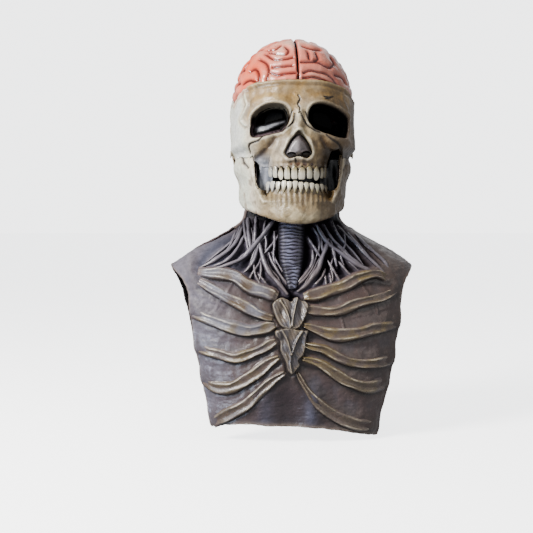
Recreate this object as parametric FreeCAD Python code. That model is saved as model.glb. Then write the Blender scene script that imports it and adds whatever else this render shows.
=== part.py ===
"""Full-head latex skull mask with a chest-and-back bib, as an assembly of separate castings.

Row frame: millimetres, +Z up, the face looks along -Y, the wearer's left is +X.
The origin is the middle of the wearer's head, level with the ear canals.
"""

import FreeCAD, Part
import os
from math import atan2, copysign, cos, degrees, hypot, pi, radians, sin

Vector = FreeCAD.Vector

# ---------------------------------------------------------------- driving dimensions
SKIN = 4.0  # wall of the head castings
BIB_SKIN = 3.5  # wall of the neck and bib skins
JAW_SKIN = 5.0  # wall of the jaw casting
GLUE = 0.15  # glue line between bonded castings
FAR = 260.0  # reaches past the whole object
SECTION_POINTS = 24  # points on each horizontal section curve

# Horizontal sections: height, half width, front, back, squareness (2 is an ellipse).
HEAD_WAIST_Y = -5.0
HEAD = [
    (-96, 70, -88, 70, 2.3),
    (-84, 78, -97, 78, 2.3),
    (-72, 85, -104, 85, 2.3),
    (-60, 89.5, -108, 90, 2.3),
    (-45, 92.2, -110, 93.5, 2.35),
    (-30, 94, -112, 96, 2.4),
    (-10, 95.3, -112, 97.7, 2.4),
    (10, 95.5, -112, 98, 2.4),
    (30, 95, -112, 98, 2.35),
    (50, 92, -110, 96.5, 2.25),
    (70, 88, -105, 92, 2.2),
]
JAW = [
    (-160, 52, -97, 70, 2.1),
    (-150, 66, -108, 74, 2.1),
    (-140, 76, -115, 78, 2.1),
    (-130, 81, -118, 80, 2.1),
    (-118, 84.5, -119, 82, 2.1),
    (-104, 86, -118, 83, 2.1),
    (-88, 87, -116, 85, 2.1),
    (-72, 87.5, -113.5, 87, 2.1),
    (-60, 87.2, -111.5, 88, 2.1),
    (-50, 86, -110, 89, 2.1),
    (-40, 85, -108.5, 89, 2.1),
    (-28, 84, -107, 90, 2.1),
    (-16, 83, -106, 90, 2.1),
]
TORSO_WAIST_Y = 5.0
TORSO = [
    (-50, 74, -58, 74, 2.2),
    (-100, 74, -59, 74, 2.2),
    (-125, 74.5, -60, 75, 2.2),
    (-140, 79, -62, 77, 2.2),
    (-155, 99, -65, 80, 2.2),
    (-173, 132, -70, 84, 2.3),
    (-192, 163, -77, 88, 2.4),
    (-206, 183, -82, 91, 2.5),
    (-225, 188, -90, 95, 2.6),
    (-250, 186, -100, 100, 2.7),
    (-290, 178, -110, 105, 2.7),
    (-340, 167, -112, 106, 2.7),
    (-400, 155, -108, 102, 2.7),
    (-440, 146, -105, 99, 2.7),
    (-475, 138, -103, 97, 2.7),
]
TORSO_DROP = 0.9  # a wall under the sloping shoulders drops by this share of its inset

# Brain dome: an ellipsoid shell standing on the tilted rim of the skull casting.
BRAIN_CENTRE = Vector(0, -7, 30)
BRAIN_RADII = (93.0, 103.0, 107.0)
BRAIN_WALL = 4.5

# Foam pads, as boxes in the head: x from, to, y from, to, z from, to.
PAD_THICK = 8.0
FOREHEAD_PAD = (-48, 48, -120, -60, 32, 50)
NAPE_PAD = (-40, 40, 60, 120, -44, 4)
TEMPLE_PAD_INNER_X = 60.0
TEMPLE_PAD_YZ = (-26, 34, -8, 22)

# Elastic band of the jaw: its outer face as (x, z), seen from the front.
ELASTIC_ROUTE = [(87.6, 14), (86.4, -4), (72.6, -27), (73.0, -62), (75.6, -106)]
ELASTIC_FROM_Y, ELASTIC_WIDTH, ELASTIC_THICK = -46.0, 12.0, 1.5
RIM_FRONT_Y, RIM_FRONT_Z, RIM_SLOPE = -107.0, 62.0, -0.22

# Jaw hinge, through the skull wall and the jaw's ramus on each side.
PIVOT_Y, PIVOT_Z = 5.0, -38.0
PIVOT_R, PIVOT_PLAY, PIVOT_FIT = 3.0, 0.08, 0.03
PIVOT_HEAD_R, PIVOT_HEAD_T = 5.5, 1.6
PIVOT_INNER_X, PIVOT_OUTER_X = 78.7, 94.0
WASHER_R, WASHER_FROM_X, WASHER_TO_X = 7.5, 85.6, 87.8

# Face openings, as seen from the front.
ORBIT_X, ORBIT_Z, ORBIT_TILT = 42.5, 5.0, 13.0
ORBIT_HALF_W, ORBIT_HALF_H = 28.0, 19.0
MESH_LAP = 5.0
CHEEK_HOLLOW = [(41, -70), (43, -47), (52, -36), (62, -34), (72, -42), (78, -70)]
NOSE_OUTLINE = [(0, -12), (11, -25), (19, -41), (13, -50), (0, -47)]
NOSTRIL_X, NOSTRIL_Z, NOSTRIL_R = 9.0, -44.0, 3.2

# Teeth: half of each row, from the middle outwards, as width and height.
UPPER_ARCH = (36.0, -72.0, 37.0)  # half width, centre y, depth
UPPER_ROOT_Z = -62.0
UPPER_TEETH = [(10.6, 17), (8.8, 16), (9.0, 17.5), (7.4, 15), (7.0, 14), (7.6, 12)]
LOWER_ARCH = (44.0, -68.0, 43.0)
LOWER_ROOT_Z = -96.0
LOWER_TEETH = [(7.5, 12.5), (7.8, 12.5), (8.2, 13), (8.6, 12.5), (9.0, 12), (9.5, 11)]
TOOTH_GAP = 0.5
TOOTH_DEPTH = 6.5
GUM_OUTSIDE, GUM_INSIDE = 3.4, 7.5  # reach of the ridge each way from the arch
UPPER_GUM = (80, 13.0)  # end angle along the arch, height above the roots
LOWER_GUM = (70, 9.0)

# Relief castings on the chest: centre line as (x, z, half width), seen from the front.
CLAVICLE_RIGHT = [(-144, -215, 6), (-117, -218, 8), (-92, -223, 9), (-70, -236, 9),
                  (-48, -244, 9), (-30, -252, 11)]
CLAVICLE_LEFT = [(8, -250, 7), (25, -249, 8), (50, -242, 9), (71, -234, 9),
                 (90, -225, 8), (114, -221, 7), (138, -226, 6)]
RIBS_RIGHT = [
    [(-143, -230, 5), (-117, -243, 7), (-92, -257, 8), (-65, -270, 8), (-41, -279, 6)],
    [(-151, -274, 7), (-124, -284, 8), (-100, -292, 9), (-75, -297, 9), (-51, -295, 8),
     (-39, -293, 5)],
    [(-143, -326, 6), (-117, -331, 8), (-90, -337, 8), (-66, -328, 8), (-37, -316, 6)],
    [(-135, -372, 7), (-117, -381, 9), (-100, -382, 9), (-75, -368, 9), (-51, -350, 8),
     (-32, -338, 6)],
    [(-124, -434, 9), (-100, -420, 9), (-75, -405, 9), (-60, -390, 8), (-41, -373, 7),
     (-24, -360, 5)],
]
RIBS_LEFT = [
    [(17, -270, 7), (39, -271, 8), (62, -269, 8), (83, -262, 8), (107, -257, 7),
     (131, -250, 6), (150, -243, 4)],
    [(13, -291, 5), (36, -300, 8), (61, -305, 10), (87, -304, 9), (116, -297, 8),
     (148, -292, 6)],
    [(14, -319, 5), (33, -324, 7), (54, -336, 7), (74, -344, 7), (100, -348, 7),
     (140, -347, 8)],
    [(11, -341, 5), (28, -345, 7), (51, -358, 8), (74, -374, 8), (101, -384, 9),
     (130, -379, 9)],
    [(3, -366, 4), (14, -384, 6), (31, -406, 8), (54, -423, 9), (81, -435, 9),
     (114, -444, 9)],
]
MANUBRIUM = [(-30, -257), (-14, -253), (2, -258), (12, -263), (11, -273), (5, -288),
             (-4, -293), (-22, -293), (-30, -286), (-35, -270)]
STERNUM = [(-34, -299), (-14, -295.5), (9, -302), (7, -326), (0, -348), (-11, -361),
           (-21, -348), (-29, -323)]
TRACHEA = [(-6, -146, 20), (-7, -170, 20), (-8, -200, 18), (-8, -222, 13), (-8, -240, 7)]
TRACHEA_RINGS = 15
CORDS_RIGHT = [
    [(-32, -142, 3), (-53, -168, 4), (-70, -187, 3), (-97, -204, 3), (-134, -212, 2.5)],
    [(-54, -172, 3), (-50, -195, 3), (-40, -218, 3), (-24, -237, 2.5)],
    [(-56, -176, 3), (-64, -201, 3), (-74, -212, 2.5)],
    [(-70, -140, 3), (-69, -160, 3), (-67, -184, 3)],
    [(-79, -150, 3), (-95, -181, 3), (-112, -195, 3), (-132, -206, 2.5)],
]
CORDS_LEFT = [
    [(33, -149, 3), (49, -177, 3), (74, -196, 3), (104, -213, 2.5)],
    [(47, -170, 4), (40, -190, 4), (31, -212, 3), (14, -234, 2.5)],
    [(52, -172, 3), (55, -190, 3), (58, -206, 2.5)],
    [(75, -150, 3), (94, -179, 3), (112, -200, 3), (132, -216, 2.5)],
    [(46, -198, 3), (54, -215, 2.5), (61, -228, 2.5)],
]
RELIEF = {"clavicle": 9.0, "rib": 7.0, "sternum": 8.0, "trachea": 7.0, "cord": 5.5}

# Back relief.
VERTEBRAE = 9
VERTEBRA_TOP_Z, VERTEBRA_PITCH = -165.0, 29.0
SCAPULA = [(38, -222), (120, -205), (135, -222), (104, -262), (72, -312), (52, -300)]
BACK_RIBS = [
    [(24, -262, 6), (52, -268, 7), (58, -272, 5)],
    [(24, -318, 6), (60, -328, 7), (100, -346, 7), (136, -372, 6)],
    [(24, -350, 6), (60, -362, 7), (98, -384, 7), (130, -408, 6)],
    [(24, -382, 6), (58, -396, 7), (90, -418, 7), (110, -434, 6)],
]
BACK_RELIEF = 6.0

# Armholes and lower hems, as seen from the side.
ARMHOLE = [(-28, -212), (-52, -224), (-68, -245), (-71, -300), (-70, -480),
           (66, -480), (66, -300), (60, -245), (44, -222), (20, -210), (-4, -208)]
FRONT_HEM = [(-190, -446), (-124, -443), (-100, -436), (-40, -436), (24, -439),
             (62, -445), (103, -454), (190, -461)]
BACK_HEM_Z = -442.0


# ---------------------------------------------------------------- shape helpers
def periodic_wire(points):
    """Closed smooth wire; even parameters keep the sections of a loft on shared knots."""
    curve = Part.BSplineCurve()
    steps = [float(i) for i in range(len(points) + 1)]
    curve.interpolate(Points=points, PeriodicFlag=True, Parameters=steps)
    return Part.Wire([curve.toShape()])


def open_curve(points):
    curve = Part.BSplineCurve()
    curve.interpolate(Points=points)
    return curve.toShape()


def section(z, half_width, front, back, squareness, waist_y):
    """One horizontal section: a superellipse with its own depth in front and behind."""
    points = []
    for i in range(SECTION_POINTS):
        angle = 2 * pi * i / SECTION_POINTS
        across = copysign(abs(cos(angle)) ** (2 / squareness), cos(angle))
        along = copysign(abs(sin(angle)) ** (2 / squareness), sin(angle))
        depth = back - waist_y if along > 0 else waist_y - front
        points.append(Vector(half_width * across, waist_y + depth * along, z))
    return periodic_wire(points)


def body(sections, waist_y, grow=0.0, drop=0.0):
    """Solid through the sections, each grown outwards by grow and lifted by drop times that."""
    wires = [
        section(z + grow * drop, half + grow, front - grow, back + grow, square, waist_y)
        for z, half, front, back, square in sections
    ]
    return Part.makeLoft(wires, True, False)


def head(grow=0.0):
    return body(HEAD, HEAD_WAIST_Y, grow)


def jaw_form(grow=0.0):
    return body(JAW, HEAD_WAIST_Y, grow)


def torso(grow=0.0):
    return body(TORSO, TORSO_WAIST_Y, grow, TORSO_DROP)


def polygon_face(points):
    return Part.Face(Part.makePolygon(points + points[:1]))


def side_prism(outline):
    """Prism along X with this outline, given as (y, z)."""
    face = polygon_face([Vector(-FAR, y, z) for y, z in outline])
    return face.extrude(Vector(2 * FAR, 0, 0))


def front_prism(face, front=True):
    """Prism along Y from the middle plane to the front or the back."""
    return face.extrude(Vector(0, -FAR if front else FAR, 0))


def closed_outline(points):
    """Smooth closed face in the plane y = 0 through (x, z) points."""
    return Part.Face(periodic_wire([Vector(x, 0, z) for x, z in points]))


def band(line):
    """Face in the plane y = 0 along a centre line of (x, z, half width)."""
    upper, lower = [], []
    for i, (x, z, half) in enumerate(line):
        before, after = line[max(i - 1, 0)], line[min(i + 1, len(line) - 1)]
        angle = atan2(after[1] - before[1], after[0] - before[0]) + pi / 2
        across = Vector(half * cos(angle), 0, half * sin(angle))
        upper.append(Vector(x, 0, z) + across)
        lower.append(Vector(x, 0, z) - across)
    edges = [
        open_curve(upper),
        Part.makeLine(upper[-1], lower[-1]),
        open_curve(lower[::-1]),
        Part.makeLine(lower[0], upper[0]),
    ]
    return Part.Face(Part.Wire(edges))


def mirrored(points):
    return [(-p[0], *p[1:]) for p in points]


def mirror_x(shape):
    return shape.mirror(Vector(0, 0, 0), Vector(1, 0, 0))


def x_cylinder(radius, x_from, x_to):
    """Cylinder about the jaw's hinge axis."""
    return Part.makeCylinder(
        radius, x_to - x_from, Vector(x_from, PIVOT_Y, PIVOT_Z), Vector(1, 0, 0)
    )


def rim_z(y):
    """Height of the tilted cut round the skull, where the brain starts."""
    return RIM_FRONT_Z + RIM_SLOPE * (y - RIM_FRONT_Y)


def save(name, shape):
    """One STEP file per node; several solids in a node stay separate."""
    solids = [s for s in shape.Solids if s.Volume > 1.0]
    out = solids[0] if len(solids) == 1 else Part.makeCompound(solids)
    out.exportStep(f"parts/{name}.step")
    size = out.BoundBox
    print(f"{name:22s} solids {len(solids):2d}  {size.XLength:6.1f} x {size.YLength:6.1f}"
          f" x {size.ZLength:6.1f}  valid {all(s.isValid() for s in solids)}")


# ---------------------------------------------------------------- head
def orbit_face(side, grow=0.0):
    """Eye opening, wider than high, its outer end lower."""
    points = []
    for i in range(16):
        angle = 2 * pi * i / 16
        u = (ORBIT_HALF_W + grow) * copysign(abs(cos(angle)) ** 0.8, cos(angle))
        v = (ORBIT_HALF_H + grow) * copysign(abs(sin(angle)) ** 0.8, sin(angle))
        tilt = radians(-ORBIT_TILT)
        x = ORBIT_X + u * cos(tilt) - v * sin(tilt)
        z = ORBIT_Z + u * sin(tilt) + v * cos(tilt)
        points.append((side * x, z))
    return closed_outline(points)


def nose_face(inset=0.0):
    """Pear-shaped nose opening: narrow at the top, wide and flat at the bottom."""
    half = [(max(x - inset, 0), z) for x, z in NOSE_OUTLINE]
    top, bottom = (0, half[0][1] - inset), (0, half[-1][1] + inset)
    inner = [(x, z + inset if z < -45 else z) for x, z in half[1:-1]]
    points = [top, *inner, bottom, *[(-x, z) for x, z in inner[::-1]]]
    return closed_outline(points)


def skull_shell():
    profile = side_prism([
        (-150, UPPER_ROOT_Z), (-94, UPPER_ROOT_Z), (-86, -48), (-50, -46), (-12, -50),
        (30, -50), (44, -62), (66, -80), (130, -86), (130, rim_z(130)),
        (-150, rim_z(-150)),
    ])
    shell = head().cut(head(-SKIN)).common(profile)
    shell = shell.cut(x_cylinder(PIVOT_R + PIVOT_FIT, -FAR, FAR))
    for outline in (CHEEK_HOLLOW, mirrored(CHEEK_HOLLOW)):
        hollow = polygon_face([Vector(x, 0, z) for x, z in outline])
        shell = shell.cut(front_prism(hollow))
    for side in (-1, 1):
        shell = shell.cut(front_prism(orbit_face(side)))
    return shell.cut(front_prism(nose_face()))


def ellipsoid(radii):
    ball = Part.makeSphere(1.0)
    stretch = FreeCAD.Matrix()
    stretch.scale(*radii)
    shape = ball.transformGeometry(stretch)
    shape.translate(BRAIN_CENTRE)
    return shape


def brain_half(side):
    dome = ellipsoid(BRAIN_RADII).cut(ellipsoid([r - BRAIN_WALL for r in BRAIN_RADII]))
    above = side_prism([(-150, rim_z(-150)), (150, rim_z(150)), (150, 200), (-150, 200)])
    half = Part.makeBox(FAR, 2 * FAR, 2 * FAR, Vector(0 if side > 0 else -FAR, -FAR, -FAR))
    return dome.common(above).common(half)


def nose_cartilage():
    plug = head(-0.8).cut(head(-SKIN)).common(front_prism(nose_face(GLUE)))
    for side in (-1, 1):
        plug = plug.cut(Part.makeCylinder(
            NOSTRIL_R, FAR, Vector(side * NOSTRIL_X, 0, NOSTRIL_Z), Vector(0, -1, 0)))
    return plug


def eye_mesh(side):
    sheet = head(-SKIN - GLUE).cut(head(-SKIN - GLUE - 0.8))
    return sheet.common(front_prism(orbit_face(side, MESH_LAP)))


def tooth(width, height, root_z, direction):
    """One tooth about its own axis: a neck at the root, a wide crown and a thin edge."""
    wires = []
    for share, wide, deep in ((0, 0.74, 0.85), (0.45, 0.96, 1.0), (0.8, 1.0, 0.72),
                              (1, 0.86, 0.36)):
        ring = [
            Vector(width / 2 * wide * cos(2 * pi * i / 12),
                   TOOTH_DEPTH / 2 * deep * sin(2 * pi * i / 12),
                   root_z + direction * share * height)
            for i in range(12)
        ]
        wires.append(periodic_wire(ring))
    return Part.makeLoft(wires, True, False)


def arch_point(arch, angle):
    half, centre_y, depth = arch
    return Vector(half * sin(angle), centre_y - depth * cos(angle), 0)


def tooth_row(arch, teeth, root_z, direction):
    """Teeth set side by side along the arch, mirrored about the middle."""
    solids, angle, travelled, target = [], 0.0, 0.0, 0.0
    for width, height in teeth:
        target += width / 2 + TOOTH_GAP / 2
        while travelled < target:
            step = arch_point(arch, angle + 0.002) - arch_point(arch, angle)
            travelled += step.Length
            angle += 0.002
        place = arch_point(arch, angle)
        ahead = arch_point(arch, angle + 0.01) - place
        turn = degrees(atan2(ahead.y, ahead.x))
        one = tooth(width, height, root_z, direction)
        one.rotate(Vector(0, 0, 0), Vector(0, 0, 1), turn)
        one.translate(place)
        solids += [one, mirror_x(one)]
        target += width / 2 + TOOTH_GAP / 2
    return Part.makeCompound(solids)


def gum(arch, reach, root_z, direction, within):
    """Horseshoe ridge that carries a row of teeth, inside the wall it is bonded to."""
    end_angle, thick = reach
    half, centre_y, depth = arch
    rows = []
    for grow in (GUM_OUTSIDE, -GUM_INSIDE):
        grown = (half + grow, centre_y, depth + grow)
        angles = [radians(end_angle) * (i / 6 - 1) for i in range(13)]
        rows.append([arch_point(grown, a) + Vector(0, 0, root_z) for a in angles])
    outer, inner = rows
    face = Part.Face(Part.Wire([
        open_curve(outer),
        Part.makeLine(outer[-1], inner[-1]),
        open_curve(inner[::-1]),
        Part.makeLine(inner[0], outer[0]),
    ]))
    return face.extrude(Vector(0, 0, direction * thick)).common(within)


def cheek_web(side):
    """Thin membrane behind the gap between the cheekbone and the jaw."""
    sheet = jaw_form(-9.0).cut(jaw_form(-11.0))
    x_from = 43 if side > 0 else -68
    return sheet.common(Part.makeBox(25, 100, 35, Vector(x_from, -150, -81)))


def head_pad(x_from, x_to, y_from, y_to, z_from, z_to):
    """Foam pad glued to the inside of the head wall, within the given box."""
    layer = head(-SKIN - GLUE).cut(head(-SKIN - GLUE - PAD_THICK))
    block = Part.makeBox(x_to - x_from, y_to - y_from, z_to - z_from,
                         Vector(x_from, y_from, z_from))
    return layer.common(block)


def crown_pad():
    radii = [r - BRAIN_WALL - GLUE for r in BRAIN_RADII]
    layer = ellipsoid(radii).cut(ellipsoid([r - 9 for r in radii]))
    return layer.common(Part.makeBox(90, 90, 60, Vector(-45, -52, 95)))


def jaw_pivot(side):
    """Snap rivet: outer head, shank and inner cap in one piece."""
    rivet = x_cylinder(PIVOT_R, PIVOT_INNER_X - 1, PIVOT_OUTER_X + 1)
    rivet = rivet.fuse(x_cylinder(PIVOT_HEAD_R, PIVOT_INNER_X - PIVOT_HEAD_T, PIVOT_INNER_X))
    rivet = rivet.fuse(x_cylinder(PIVOT_HEAD_R, PIVOT_OUTER_X, PIVOT_OUTER_X + PIVOT_HEAD_T))
    rivet = rivet.removeSplitter()
    return rivet if side > 0 else mirror_x(rivet)


def pivot_washer(side):
    ring = x_cylinder(WASHER_R, WASHER_FROM_X, WASHER_TO_X).cut(
        x_cylinder(PIVOT_R + PIVOT_PLAY, WASHER_FROM_X - 1, WASHER_TO_X + 1))
    return ring if side > 0 else mirror_x(ring)


def jaw_elastic(side):
    """Flat band that pulls the jaw shut, from the temple wall to the jaw wall."""
    outer = [Vector(x, ELASTIC_FROM_Y, z) for x, z in ELASTIC_ROUTE]
    inner = [Vector(x - ELASTIC_THICK, ELASTIC_FROM_Y, z) for x, z in ELASTIC_ROUTE]
    strap = polygon_face(outer + inner[::-1]).extrude(Vector(0, ELASTIC_WIDTH, 0))
    return strap if side > 0 else mirror_x(strap)


# ---------------------------------------------------------------- jaw
def lower_jaw():
    profile = side_prism([
        (-150, LOWER_ROOT_Z), (-100, LOWER_ROOT_Z), (-90, -91), (-84, -78), (-78, -50),
        (-70, -36), (10, -28), (16, -44), (14, -80), (6, -116), (-150, -150),
    ])
    shell = jaw_form().cut(jaw_form(-JAW_SKIN)).common(profile)
    return shell.cut(x_cylinder(PIVOT_R + PIVOT_PLAY, -FAR, FAR))


def chin_pad():
    """Foam pad between the wearer's chin and the front of the jaw."""
    layer = jaw_form(-JAW_SKIN - GLUE).cut(jaw_form(-JAW_SKIN - GLUE - 8))
    return layer.common(Part.makeBox(64, 50, 24, Vector(-32, -140, -132)))


# ---------------------------------------------------------------- neck and bib
def torso_skin():
    skin = torso().cut(torso(-BIB_SKIN))
    armhole = polygon_face([Vector(0, y, z) for y, z in ARMHOLE])
    return skin.cut(armhole.extrude(Vector(FAR, 0, 0))).cut(
        armhole.extrude(Vector(-FAR, 0, 0)))


def above_hem(shape):
    """What is left above the front hem, which hangs lower at the wearer's left."""
    outline = [Vector(x, 0, z) for x, z in FRONT_HEM + [(190, 0), (-190, 0)]]
    return shape.common(front_prism(polygon_face(outline)))


def between(shape, y_from, y_to, z_from, z_to):
    return shape.common(Part.makeBox(
        2 * FAR, y_to - y_from, z_to - z_from, Vector(-FAR, y_from, z_from)))


def relief_layer(height):
    return torso(height).cut(torso(GLUE))


def relief(layer, outline, front=True):
    return layer.common(front_prism(outline, front))


def trachea(layer):
    """Windpipe: a smooth tube under a stack of proud rings."""
    line = TRACHEA
    tube = relief(torso(RELIEF["trachea"] - 2.0).cut(torso(GLUE)), band(line))
    top, bottom = line[0][1] - 2, line[-1][1] + 4
    pitch = (top - bottom) / TRACHEA_RINGS
    whole = relief(layer, band(line))
    bars = [
        Part.makeBox(80, 200, pitch * 0.6, Vector(-48, -200, bottom + pitch * (i + 0.2)))
        for i in range(TRACHEA_RINGS)
    ]
    return tube.fuse(whole.common(Part.makeCompound(bars))).removeSplitter()


def cords(layer, lines, clear_of):
    """Neck cords of one side, joined where they branch and clear of the other relief."""
    prisms = [front_prism(band(line)) for line in lines]
    shape = layer.common(prisms[0].multiFuse(prisms[1:]))
    for other in clear_of:
        shape = shape.cut(other)
    return shape.removeSplitter()


def spine(layer):
    """Knuckles of the backbone, one solid for each."""
    solids = []
    for i in range(VERTEBRAE):
        z = VERTEBRA_TOP_Z - i * VERTEBRA_PITCH
        knuckle = closed_outline([
            (0, z + 11), (8, z + 8), (17, z + 3), (15, z - 4), (7, z - 6), (0, z - 12),
            (-7, z - 6), (-15, z - 4), (-17, z + 3), (-8, z + 8)])
        solids += relief(layer, knuckle, front=False).Solids
    return Part.makeCompound(solids)


# ---------------------------------------------------------------- build
def build_head():
    skull = skull_shell()
    save("skull_shell", skull)
    save("brain_left", brain_half(1))
    save("brain_right", brain_half(-1))
    save("nose_cartilage", nose_cartilage())
    save("upper_teeth", tooth_row(UPPER_ARCH, UPPER_TEETH, UPPER_ROOT_Z, -1))
    save("upper_gum", gum(UPPER_ARCH, UPPER_GUM, UPPER_ROOT_Z, 1, head(-SKIN - GLUE)))
    save("forehead_pad", head_pad(*FOREHEAD_PAD))
    save("nape_pad", head_pad(*NAPE_PAD))
    save("crown_pad", crown_pad())
    for name, side in (("left", 1), ("right", -1)):
        x_from, x_to = sorted((side * TEMPLE_PAD_INNER_X, side * FAR))
        save(f"temple_pad_{name}", head_pad(x_from, x_to, *TEMPLE_PAD_YZ))
        save(f"eye_mesh_{name}", eye_mesh(side))
        save(f"cheek_web_{name}", cheek_web(side))
        save(f"jaw_pivot_{name}", jaw_pivot(side))
        save(f"pivot_washer_{name}", pivot_washer(side))
        save(f"jaw_elastic_{name}", jaw_elastic(side))
    return skull


def build_jaw():
    save("lower_jaw", lower_jaw())
    save("lower_teeth", tooth_row(LOWER_ARCH, LOWER_TEETH, LOWER_ROOT_Z, 1))
    save("lower_gum", gum(LOWER_ARCH, LOWER_GUM, LOWER_ROOT_Z, -1,
                          jaw_form(-JAW_SKIN - GLUE)))
    save("chin_pad", chin_pad())


def build_bib(skull):
    skin = torso_skin()
    shoulder_y, neck_z = 0.0, -150.0
    save("neck_sleeve", between(skin, -FAR, FAR, neck_z, -60).cut(skull))
    save("front_bib", above_hem(between(skin, -FAR, shoulder_y, -FAR * 2, neck_z)))
    save("back_bib", between(skin, shoulder_y, FAR, BACK_HEM_Z, neck_z))

    rib_layer = relief_layer(RELIEF["rib"])
    clavicle_layer = relief_layer(RELIEF["clavicle"])
    sternum_layer = relief_layer(RELIEF["sternum"])
    clavicles = {
        "left": relief(clavicle_layer, band(CLAVICLE_LEFT)),
        "right": relief(clavicle_layer, band(CLAVICLE_RIGHT)),
    }
    plates = {
        "manubrium": relief(sternum_layer, closed_outline(MANUBRIUM)),
        "sternum_body": relief(sternum_layer, closed_outline(STERNUM)),
    }
    for name, shape in plates.items():
        save(name, shape)
    for name, lines in (("left", RIBS_LEFT), ("right", RIBS_RIGHT)):
        save(f"clavicle_{name}", clavicles[name])
        for number, line in enumerate(lines, 1):
            rib = relief(rib_layer, band(line))
            for plate in plates.values():
                rib = rib.cut(plate)
            save(f"rib_{number}_{name}", above_hem(rib))

    windpipe = trachea(relief_layer(RELIEF["trachea"]))
    save("trachea", windpipe)
    cord_layer = relief_layer(RELIEF["cord"])
    for name, lines in (("left", CORDS_LEFT), ("right", CORDS_RIGHT)):
        save(f"neck_cords_{name}",
             cords(cord_layer, lines, [windpipe, *clavicles.values(), *plates.values()]))


def build_back():
    layer = relief_layer(BACK_RELIEF)
    backbone = spine(layer)
    save("spine", between(backbone, -FAR, FAR, BACK_HEM_Z, 0))
    for name, side in (("left", 1), ("right", -1)):
        flip = (lambda points: points) if side > 0 else mirrored
        blade = relief(layer, closed_outline(flip(SCAPULA)), front=False)
        save(f"scapula_{name}", blade)
        ribs = []
        for line in BACK_RIBS:
            rib = relief(layer, band(flip(line)), front=False).cut(backbone).cut(blade)
            ribs += between(rib, -FAR, FAR, BACK_HEM_Z, 0).Solids
        save(f"back_ribs_{name}", Part.makeCompound(ribs))


os.makedirs("parts", exist_ok=True)
skull_casting = build_head()
build_jaw()
build_bib(skull_casting)
build_back()
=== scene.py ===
import bpy
import numpy as np
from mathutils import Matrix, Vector


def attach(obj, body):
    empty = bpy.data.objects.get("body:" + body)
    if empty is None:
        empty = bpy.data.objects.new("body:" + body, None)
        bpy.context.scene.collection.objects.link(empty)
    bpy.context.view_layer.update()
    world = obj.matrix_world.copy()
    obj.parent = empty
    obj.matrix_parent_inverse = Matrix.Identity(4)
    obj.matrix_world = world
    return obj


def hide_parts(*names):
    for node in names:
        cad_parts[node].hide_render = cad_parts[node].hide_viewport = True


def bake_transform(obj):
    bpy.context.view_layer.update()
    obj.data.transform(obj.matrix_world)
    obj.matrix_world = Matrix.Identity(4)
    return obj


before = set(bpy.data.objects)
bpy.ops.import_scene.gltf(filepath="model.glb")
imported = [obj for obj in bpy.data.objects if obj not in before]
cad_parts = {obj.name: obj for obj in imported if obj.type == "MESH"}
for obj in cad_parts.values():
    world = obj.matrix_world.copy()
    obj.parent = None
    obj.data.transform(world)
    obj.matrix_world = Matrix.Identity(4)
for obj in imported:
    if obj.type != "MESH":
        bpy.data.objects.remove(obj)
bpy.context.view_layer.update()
MM = 0.001

# Horizontal sections of the CAD forms, in millimetres: height, half width, front, back, squareness.
HEAD = [(-96, 70, -88, 70, 2.3), (-84, 78, -97, 78, 2.3), (-72, 85, -104, 85, 2.3),
        (-60, 89.5, -108, 90, 2.3), (-45, 92.2, -110, 93.5, 2.35), (-30, 94, -112, 96, 2.4),
        (-10, 95.3, -112, 97.7, 2.4), (10, 95.5, -112, 98, 2.4), (30, 95, -112, 98, 2.35),
        (50, 92, -110, 96.5, 2.25), (70, 88, -105, 92, 2.2)]
JAW = [(-160, 52, -97, 70, 2.1), (-150, 66, -108, 74, 2.1), (-140, 76, -115, 78, 2.1),
       (-130, 81, -118, 80, 2.1), (-118, 84.5, -119, 82, 2.1), (-104, 86, -118, 83, 2.1),
       (-88, 87, -116, 85, 2.1), (-72, 87.5, -113.5, 87, 2.1), (-60, 87.2, -111.5, 88, 2.1),
       (-50, 86, -110, 89, 2.1), (-40, 85, -108.5, 89, 2.1), (-28, 84, -107, 90, 2.1),
       (-16, 83, -106, 90, 2.1)]
TORSO = [(-50, 74, -58, 74, 2.2), (-100, 74, -59, 74, 2.2), (-125, 74.5, -60, 75, 2.2),
         (-140, 79, -62, 77, 2.2), (-155, 99, -65, 80, 2.2), (-173, 132, -70, 84, 2.3),
         (-192, 163, -77, 88, 2.4), (-206, 183, -82, 91, 2.5), (-225, 188, -90, 95, 2.6),
         (-250, 186, -100, 100, 2.7), (-290, 178, -110, 105, 2.7), (-340, 167, -112, 106, 2.7),
         (-400, 155, -108, 102, 2.7), (-440, 146, -105, 99, 2.7), (-475, 138, -103, 97, 2.7)]


# ---------------------------------------------------------------- numbers
def smooth(x, low, high):
    """0 below low, 1 above high, smooth between; works the other way round too."""
    t = np.clip((np.asarray(x, float) - low) / (high - low), 0, 1)
    return t * t * (3 - 2 * t)


def bump(x, centre, width):
    return np.exp(-(((np.asarray(x, float) - centre) / width) ** 2))


def hermite(knots, values, x):
    """Smooth curve through (knots, values); knots ascend, values may have several columns."""
    knots, values = np.asarray(knots, float), np.asarray(values, float)
    if values.ndim == 1:
        return hermite(knots, values[:, None], x)[..., 0]
    x = np.clip(np.asarray(x, float), knots[0], knots[-1])
    slopes = np.gradient(values, knots, axis=0)
    i = np.clip(np.searchsorted(knots, x, side="right") - 1, 0, len(knots) - 2)
    h = (knots[i + 1] - knots[i])[..., None]
    t = ((x - knots[i]) / (knots[i + 1] - knots[i]))[..., None]
    return ((2 * t ** 3 - 3 * t ** 2 + 1) * values[i] + (t ** 3 - 2 * t ** 2 + t) * h * slopes[i]
            + (3 * t ** 2 - 2 * t ** 3) * values[i + 1] + (t ** 3 - t ** 2) * h * slopes[i + 1])


def run_of(points):
    """Length along a polyline at each of its points."""
    return np.r_[0, np.cumsum(np.linalg.norm(np.diff(points, axis=0), axis=1))]


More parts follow.
